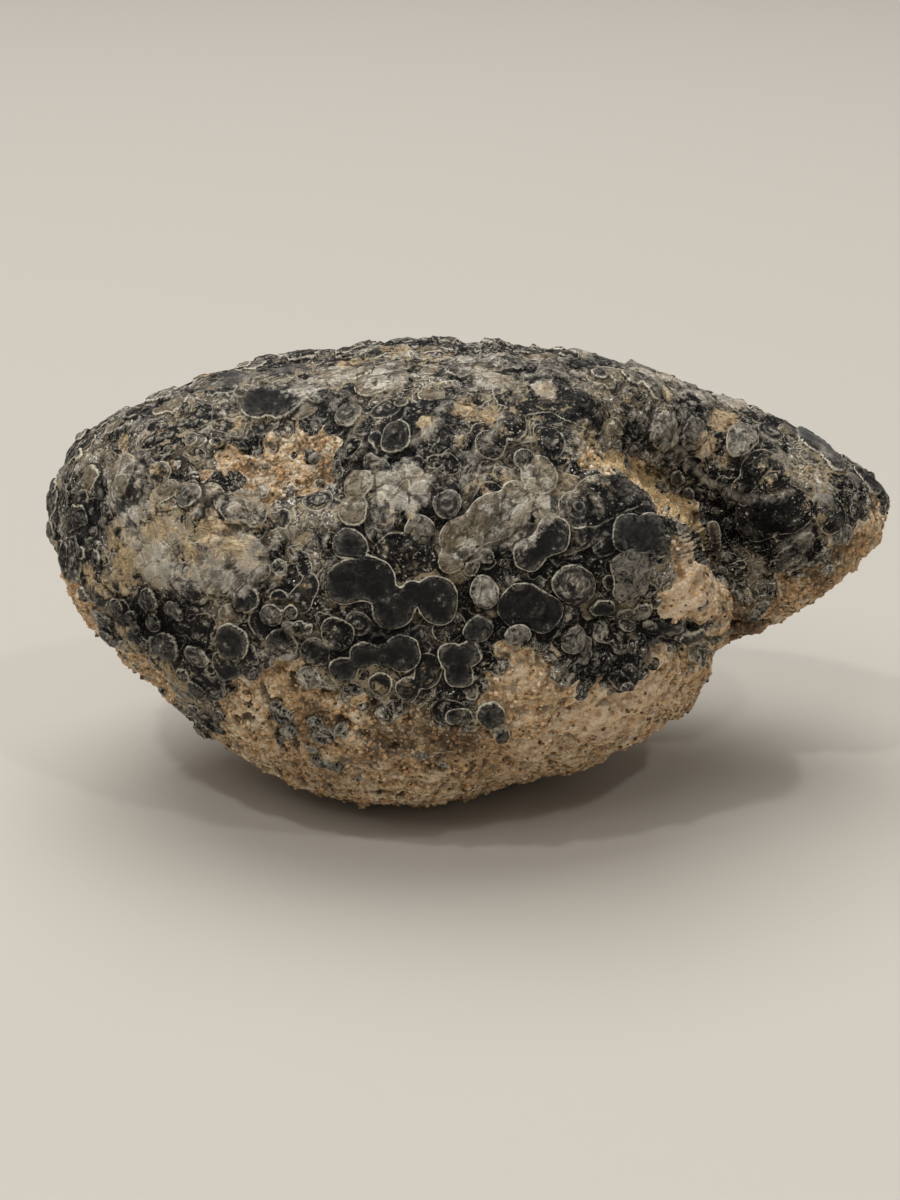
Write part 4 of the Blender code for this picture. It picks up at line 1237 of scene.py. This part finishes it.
def stone_finish():
    """Matrix, bed, low, middle and top plates, each over the last in its own rim, then what lies on them."""
    f = Finish("geode_stone", 0.5, **{"Specular IOR Level": 0.09})
    fine = f.noise(0.3, 2.0, 0.6)
    broad = f.noise(1.7, 6.0, 0.72)
    wide = f.noise(8.0, 3.0, 0.6)
    flow = f.noise(1.0, 5.0, 0.7, distortion=1.4)
    speck_noise = f.noise(0.24, 1.0, 0.5)
    crest = f.field("crest")
    swell = f.field("swell")

    matrix, crumbs = matrix_colour(f, broad, wide, flow, crest)
    # Painted glints: white specks that stand for the sparkle of tiny crystals, not the glass's own colour.
    painted_glints = f.noise(0.45, 3.0, 0.65).step(0.6, 0.03) * (broad * 1.2 + wide * 0.8).step(0.9, 0.1)
    masses = (broad + wide * 1.3 + f.field("knobby") * 0.12 - f.field("glass") * 0.45).step(1.08, 0.18)
    sway = f.node("ShaderNodeTexNoise", None, {"Vector": f.places, "Scale": 1.0 / (SWAY * METRES)}, 1)
    sway = f.node("ShaderNodeVectorMath", {"operation": "SCALE"}, {0: sway, "Scale": SWAY * METRES})
    swayed = f.node("ShaderNodeVectorMath", {"operation": "ADD"}, {0: f.places, 1: sway})
    buds = f.node("ShaderNodeTexVoronoi", {"feature": "DISTANCE_TO_EDGE"},
                  {"Vector": swayed, "Scale": 1.0 / (BUD_CELLS * METRES)})
    bed = bed_colour(f, broad, wide, flow, painted_glints, masses, buds)
    bed_depth = f.field("bed") + (broad - 0.5) * 1.2
    inside = bed_depth.step(0.0, 0.05)
    edge = bed_depth.near(-0.1, 0.22) * broad.step(0.42, 0.1)
    crust = f.mix(inside, f.mix(edge * 0.6, matrix, SAND_PALE), bed)
    shine = inside
    inside_bed = inside * f.field("low").step(0.0, -0.1)
    lifted = bed_depth.step(0.0, 0.3)
    rims = 0.0
    echoes = 0.0
    for name, weight in {"low": 0.7, "middle": 1.0, "top": 1.0}.items():
        depth = f.field(name) + (broad - 0.5) * 0.5
        tone = f.field(name + "_tone")
        body = plate_colour(f, depth, tone, broad, flow)
        body = f.mix(f.field(name + "_seam").near(0.0, 0.14) * 0.85, body, BLACK)
        # Painted glints on the black plates too.
        body = f.mix(painted_glints * 0.7 * between(tone, -0.1, 0.25), body, FROSTED)
        rim = depth.near(0.09, broad * 0.14 + 0.04) * (wide * 1.4 + flow * 2.2).step(1.4, 0.45)
        rim = rim * (0.7 + between(tone, 0.25, 1.1) * 0.3) * weight
        body = f.mix(rim, body, f.mix(wide.step(0.34, 0.12), GREY, CREAM))
        inside = depth.step(0.0, 0.03)
        # Painted shadow: black just outside each plate's rim, on the layer below it.
        crust = f.mix(depth.near(-0.1, 0.3) * broad.step(0.36, 0.14) * 0.8 * weight * shine, crust, BLACK)
        gap = depth.near(-0.3, 0.8) * (1.0 - between(tone, -0.1, 0.25)) * f.field("glass").clamped()
        crust = f.mix(gap * (1.0 - painted_glints) * 0.6 * shine, crust, BLACK)
        echo = (depth * 2.1).maths("FRACT").near(0.5, 0.17) * depth.near(-1.0, 0.9) * broad.step(0.45, 0.1)
        echo = echo * wide.step(0.44, 0.12)
        crust = f.mix(echo * shine * 0.35 * weight, crust, GREY)
        crust = f.mix(inside, crust, body)
        shine = shine.most(inside)
        rims = rim * inside + rims * (1.0 - inside)
        echoes = echo * (1.0 - inside) + echoes * (1.0 - inside)
        lifted = lifted + depth.step(0.0, 0.3)

    # Paler along crests: partly the pale rims of the skin's ridges, partly painted highlight. Paler on
    # bulges: painted light.
    on_plate = f.field("top").step(0.16, 0.1).most(f.field("middle").step(0.16, 0.1))
    pale_crests_and_highlights = crest.step(0.45, 0.6) * flow.step(0.42, 0.2) * shine * (1.0 - on_plate * 0.75)
    crust = f.mix(pale_crests_and_highlights * 0.5, crust, f.mix(wide.step(0.42, 0.1), GREY, CREAM))
    crust = f.mix(swell.step(0.3, 0.9) * flow.step(0.4, 0.3) * 0.25 * shine, crust, GREY)

    druse = speck_noise.step(0.42, 0.2)
    frosted = (f.field("frost") + (broad - 0.5) * 2.2 + (flow - 0.5) * 0.8).step(0.3, 0.4) * shine
    crack = f.field("knob_crack")
    deep = (broad * 1.2 + f.field("knob_tone") * 0.5).step(0.66, 0.45)
    pale = f.mix(deep, f.mix(wide.step(0.47, 0.1), SLATE, BROWN_GREY), GREY)
    pale = f.mix((broad + flow).step(1.04, 0.2) * 0.45, pale, FROSTED)
    pale = f.mix(crack.near(0.3, 0.16) * flow.step(0.42, 0.16) * 0.6, pale, CREAM)
    pale = f.mix(crack.near(0.0, 0.2) * broad.step(0.36, 0.15) * 0.8, pale, SAND_DARK)
    pale = f.mix(druse * broad.step(0.5, 0.1) * 0.35, pale, WHITE)
    crust = f.mix(frosted * 0.88, crust, pale)
    # Painted sheen: bluish grey near the top edge, where the overhead light glances off the smooth glass.
    sheen_share = (f.field("painted_sheen") + (broad - 0.5) * 1.6).step(0.4, 0.3) * shine
    painted_sheen = f.mix(broad.step(0.36, 0.3), SHEEN_BLUE, f.mix(wide.step(0.45, 0.2), SLATE, GREY))
    crust = f.mix(sheen_share * 0.75, crust, painted_sheen)
    covered = f.field("top").step(-0.05, 0.3) * 0.6
    dusty = (f.field("dust") + (broad - 0.5) * 4.0 + (wide - 0.5) * 1.5 - covered).step(0.45, 0.5) * shine
    dust_colour = f.mix(flow.step(0.38, 0.2), SAND_BROWN, f.mix(wide.step(0.5, 0.1), DUST, YELLOW))
    crust = f.mix(dusty * 0.8, crust, dust_colour)
    # Painted shade: black where the surface lies below its surroundings, in hollows and between plates.
    painted_hollow_shade = ((-crest).step(0.35, 0.6) + (-swell).step(0.4, 0.6) * 0.6).clamped()
    painted_hollow_shade = painted_hollow_shade * broad.step(0.36, 0.16) * shine
    crust = f.mix(painted_hollow_shade * 0.8, crust, BLACK)
    silt = (-crest).step(0.35, 0.4) * (wide * 1.4 + flow).step(1.24, 0.14) * shine
    silt = silt * (1.0 - f.field("glass").clamped() * 0.9) * (1.0 - f.field("top").step(0.1, 0.1))
    crust = f.mix(silt * 0.5, crust, DUST)
    halo = f.field("ridge").near(-0.05, 0.45) * (broad + flow).step(0.84, 0.2) * shine
    crust = f.mix(halo * 0.4, crust, f.mix(wide.step(0.42, 0.1), GREY, BROWN_GREY))
    line = f.field("ridge").step(-0.12, 0.14) * (broad * 0.6 + flow * 0.6).step(0.5, 0.12) * shine
    line_colour = f.mix(flow.step(0.46, 0.2), SLATE, f.mix(broad.step(0.48, 0.16), GREY, CREAM))
    crust = f.mix(line * 0.7, crust, line_colour)

    satin = 0.13 + fine * 0.14 + rims * 0.25 + masses * 0.12 + pale_crests_and_highlights * 0.2
    rough = f.blend(shine, 0.95, satin + frosted * 0.35 + dusty * 0.4)
    sandy = (1.0 - shine) * (crumbs * 0.3 + fine * 0.12 - f.cells(0.4) * 0.3)
    bumpy = broad * 0.4 + flow * 0.16 + fine * 0.03
    bumpy = bumpy * (1.0 - frosted * 0.5) * (1.0 - sheen_share * 0.6)
    glassy = shine * (bumpy + rims * 0.08 + echoes * 0.07 + painted_glints * 0.1)
    glassy = glassy + inside_bed * (buds.step(0.0, 0.3) * 0.14)
    height = lifted * 0.1 + sandy + glassy + (frosted + dusty) * druse * 0.05
    bump = f.node("ShaderNodeBump", None, {"Strength": 0.9, "Distance": METRES, "Height": height})
    return f.finish(Base_Color=crust, Roughness=rough, Normal=bump)


stone.data.materials.append(stone_finish())
print("stone material:", len(stone.data.materials[0].node_tree.nodes), "nodes")

# %% [markdown]
# ## Sand grains
# The matrix is sand, and at its edges real grains stand out. Each grain is a lumpy twenty-sided
# stone, half sunk in the surface. One grain is made as an array, and thousands of copies are turned,
# stretched and placed at once, as one mesh. Grains are darker in the matrix's darker blotches and in
# the lobe's painted shade.

# %% The grains as one mesh
GRAIN_COUNT = 8800
GRAIN_SIZES = (0.16, 0.38)
GRAIN_SEED = 91
GRAIN_FACES = 20
SIDE_AT_MOST = 1.1
GRAIN_BUMPS = (0.78, 1.15)
GRAIN_STRETCH = (0.7, 1.2)
GRAIN_SUNK = (-0.5, 0.2)
SKIN_STARTS = 0.05
LOWEST_QUAD = 0.35
LOWEST_GRAIN = 0.02
FEWER_ON_CLIFF = 0.85
SHADE_DIMS, BLOTCH_DIMS = 0.9, 0.75
FACE_IN_CELL = [(0.2, 0.2), (0.8, 0.2), (0.5, 0.8)]


def icosahedron():
    """Twelve points at unit distance, the corners of three golden rectangles, and the twenty faces."""
    golden = (1.0 + math.sqrt(5.0)) / 2.0
    flat = [(-1, golden), (1, golden), (-1, -golden), (1, -golden)]
    points = [(a, b, 0) for a, b in flat] + [(0, a, b) for a, b in flat] + [(b, 0, a) for a, b in flat]
    points = np.array(points, float) / math.hypot(1.0, golden)
    side = np.linalg.norm(points[:, None] - points[None], axis=2)
    touching = side < SIDE_AT_MOST
    faces = [(a, b, c) for a in range(12) for b in range(a) for c in range(b)
             if touching[a, b] and touching[b, c] and touching[a, c]]
    for n, (a, b, c) in enumerate(faces):
        if np.dot(np.cross(points[b] - points[a], points[c] - points[a]), points[a]) <= 0:
            faces[n] = (c, b, a)
    return points, np.array(faces)


def turned(random, count):
    """Random turns, as one rotation matrix each, from random unit quaternions."""
    four = random.normal(size=(count, 4))
    w, x, y, z = (four / np.linalg.norm(four, axis=1, keepdims=True)).T
    return np.stack([
        1 - 2 * (y * y + z * z), 2 * (x * y - w * z), 2 * (x * z + w * y),
        2 * (x * y + w * z), 1 - 2 * (x * x + z * z), 2 * (y * z - w * x),
        2 * (x * z - w * y), 2 * (y * z + w * x), 1 - 2 * (x * x + y * y)], axis=1).reshape(count, 3, 3)


def sand_grains(random):
    """Grains on the bare matrix: picked by area, sunk along the surface's normal, and each with a tone."""
    skin = np.maximum.reduce([fields[name] for name in LEVELS])
    corner = finished[quads]
    area = 0.5 * np.linalg.norm(np.cross(corner[:, 2] - corner[:, 0], corner[:, 3] - corner[:, 1]), axis=1)
    bare_quads = (skin[quads].max(axis=1) < SKIN_STARTS) & (corner[:, :, 2].min(axis=1) > LOWEST_QUAD)
    weight = area * bare_quads * (1.0 - FEWER_ON_CLIFF * fields["cliff"][quads[:, 0]])
    picked = random.choice(len(quads), GRAIN_COUNT, p=weight / weight.sum())
    share = random.uniform(0.0, 1.0, (GRAIN_COUNT, 2, 1))
    across = corner[picked, 0] + share[:, 0] * (corner[picked, 1] - corner[picked, 0])
    other = corner[picked, 3] + share[:, 0] * (corner[picked, 2] - corner[picked, 3])
    centre = across + share[:, 1] * (other - across)
    size = random.uniform(*GRAIN_SIZES, GRAIN_COUNT)
    points, faces = icosahedron()
    bumps = random.uniform(*GRAIN_BUMPS, (GRAIN_COUNT, len(points), 1))
    stretch = random.uniform(*GRAIN_STRETCH, (GRAIN_COUNT, 1, 3))
    solid = (points * bumps * stretch) @ turned(random, GRAIN_COUNT) * size[:, None, None]
    way = outward(finished, quads)[quads[picked, 0]]
    sunk = size * random.uniform(*GRAIN_SUNK, GRAIN_COUNT)
    placed = solid + (centre + way * sunk[:, None])[:, None, :]
    placed[:, :, 2] = np.maximum(placed[:, :, 2], LOWEST_GRAIN)
    numbered = (faces[None] + np.arange(GRAIN_COUNT)[:, None, None] * len(points)).reshape(-1, 3)
    dimmed = np.maximum(SHADE_DIMS * fields["shade"], BLOTCH_DIMS * np.clip(fields["blotches"], 0.0, 1.0))
    tones = random.uniform(0.0, 1.0, GRAIN_COUNT) * (1.0 - dimmed[quads[picked, 0]])
    tone = np.repeat(tones, len(points))
    return placed.reshape(-1, 3), numbered, {"tone": tone}


grain_places, grain_faces, grain_fields = sand_grains(np.random.default_rng(GRAIN_SEED))
side_cells = math.ceil(math.sqrt(GRAIN_COUNT))
corner_grain = np.repeat(np.arange(GRAIN_COUNT), 3 * GRAIN_FACES)
cell_corner = np.tile(np.array(FACE_IN_CELL), (GRAIN_COUNT * GRAIN_FACES, 1))
grain_cell = np.stack([corner_grain % side_cells, corner_grain // side_cells], axis=1)
grain_corners = (grain_cell + cell_corner) / side_cells
sand = mesh_piece("sand_grains", grain_places, grain_faces, grain_fields, grain_corners)
sand.data.shade_flat()
print("grains:", GRAIN_COUNT, "triangles:", len(sand.data.polygons))

# %% The grains' material
def sand_finish():
    """Each grain its own colour off a ramp, with a little orange in blotches."""
    f = Finish("sand_grains", 0.7)
    tone = f.field("tone")
    colour = f.ramp(tone, [
        (0.0, SAND_DARK), (0.14, SAND_BROWN), (0.4, ORANGE), (0.8, TAN), (1.0, SAND_PALE)])
    blotches = f.noise(2.5, 3.0, 0.6).step(0.5, 0.25)
    colour = f.mix(blotches * 0.3, colour, ORANGE)
    return f.finish(Base_Color=colour, Roughness=0.62 + f.noise(0.3) * 0.3)


sand.data.materials.append(sand_finish())

# %% [markdown]
# ## Joining the frame
# Both pieces move with the one body, and stand for the one solid.

# %% Pieces and their places in the frame
for piece in (stone, sand):
    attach(piece, "root")
    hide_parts("geode")

# %% [markdown]
# ## Camera, floor and light
# The eye is straight in front of the face, so it looks down by the face's lean. The floor is a plain
# pale sheet that runs on past the picture, and the light comes softly from overhead.

# %% The camera
PICTURE = (900, 1200)
SENSOR = 36.0
lean = math.radians(FACE_LEAN)
gaze = np.array([0.0, math.cos(lean), -math.sin(lean)])
aim = stood_up(np.append(from_cells([EYE_CELL])[0], 0.0)[None])[0] + SHIFT
camera_data = bpy.data.cameras.new("camera")
camera_data.sensor_width = SENSOR
camera_data.sensor_fit = "AUTO"
camera_data.lens = EYE_DISTANCE / (PICTURE[1] * CELL) * SENSOR
camera_data.clip_start = 0.01
camera = bpy.data.objects.new("camera", camera_data)
camera.location = (aim - gaze * EYE_DISTANCE) * METRES
camera.rotation_euler = (math.pi / 2 - lean, 0.0, 0.0)
bpy.context.scene.collection.objects.link(camera)
bpy.context.scene.camera = camera
print("camera at", [round(v, 4) for v in camera.location], "lens", round(camera_data.lens, 2))

# %% The floor
FLOOR_SIDE = 8.0
floor_mesh = bpy.data.meshes.new("floor")
half = FLOOR_SIDE / 2
floor_corners = [(-half, -half, 0), (half, -half, 0), (half, half, 0), (-half, half, 0)]
floor_mesh.from_pydata(floor_corners, [], [(0, 1, 2, 3)])
floor = bpy.data.objects.new("floor", floor_mesh)
bpy.context.scene.collection.objects.link(floor)
floor_finish = Finish("floor", 0.9)
floor_mesh.materials.append(floor_finish.finish(Base_Color=paint(200, 195, 186)))

# %% The light
LAMPS = {
    "overhead": {"size": 2.0, "place": (-0.3, 0.6, 2.2), "watts": 45.0},
    "front": {"size": 0.9, "place": (-0.6, -1.2, 1.8), "watts": 7.5},
    "sparkle left": {"size": 0.05, "place": (-0.35, -0.4, 0.95), "watts": 1.5},
    "sparkle right": {"size": 0.05, "place": (0.4, -0.5, 0.9), "watts": 1.0},
}
LIT_PLACE = (0.0, 0.0, 0.03)
WORLD_STRENGTH = 0.18
LIGHT_COLOUR = (1.0, 0.985, 0.96)
for name, lamp in LAMPS.items():
    data = bpy.data.lights.new(name, "AREA")
    data.size = lamp["size"]
    data.energy = lamp["watts"]
    data.color = LIGHT_COLOUR
    light = bpy.data.objects.new(name, data)
    light.location = lamp["place"]
    towards = np.array(LIT_PLACE) - lamp["place"]
    light.rotation_euler = (math.atan2(math.hypot(*towards[:2]), -towards[2]), 0.0,
                            math.atan2(-towards[0], towards[1]))
    bpy.context.scene.collection.objects.link(light)
world = bpy.data.worlds.new("studio")
world.use_nodes = True
world.node_tree.nodes["Background"].inputs["Color"].default_value = (*LIGHT_COLOUR, 1.0)
world.node_tree.nodes["Background"].inputs["Strength"].default_value = WORLD_STRENGTH
bpy.context.scene.world = world
bpy.context.scene.view_settings.view_transform = "Standard"
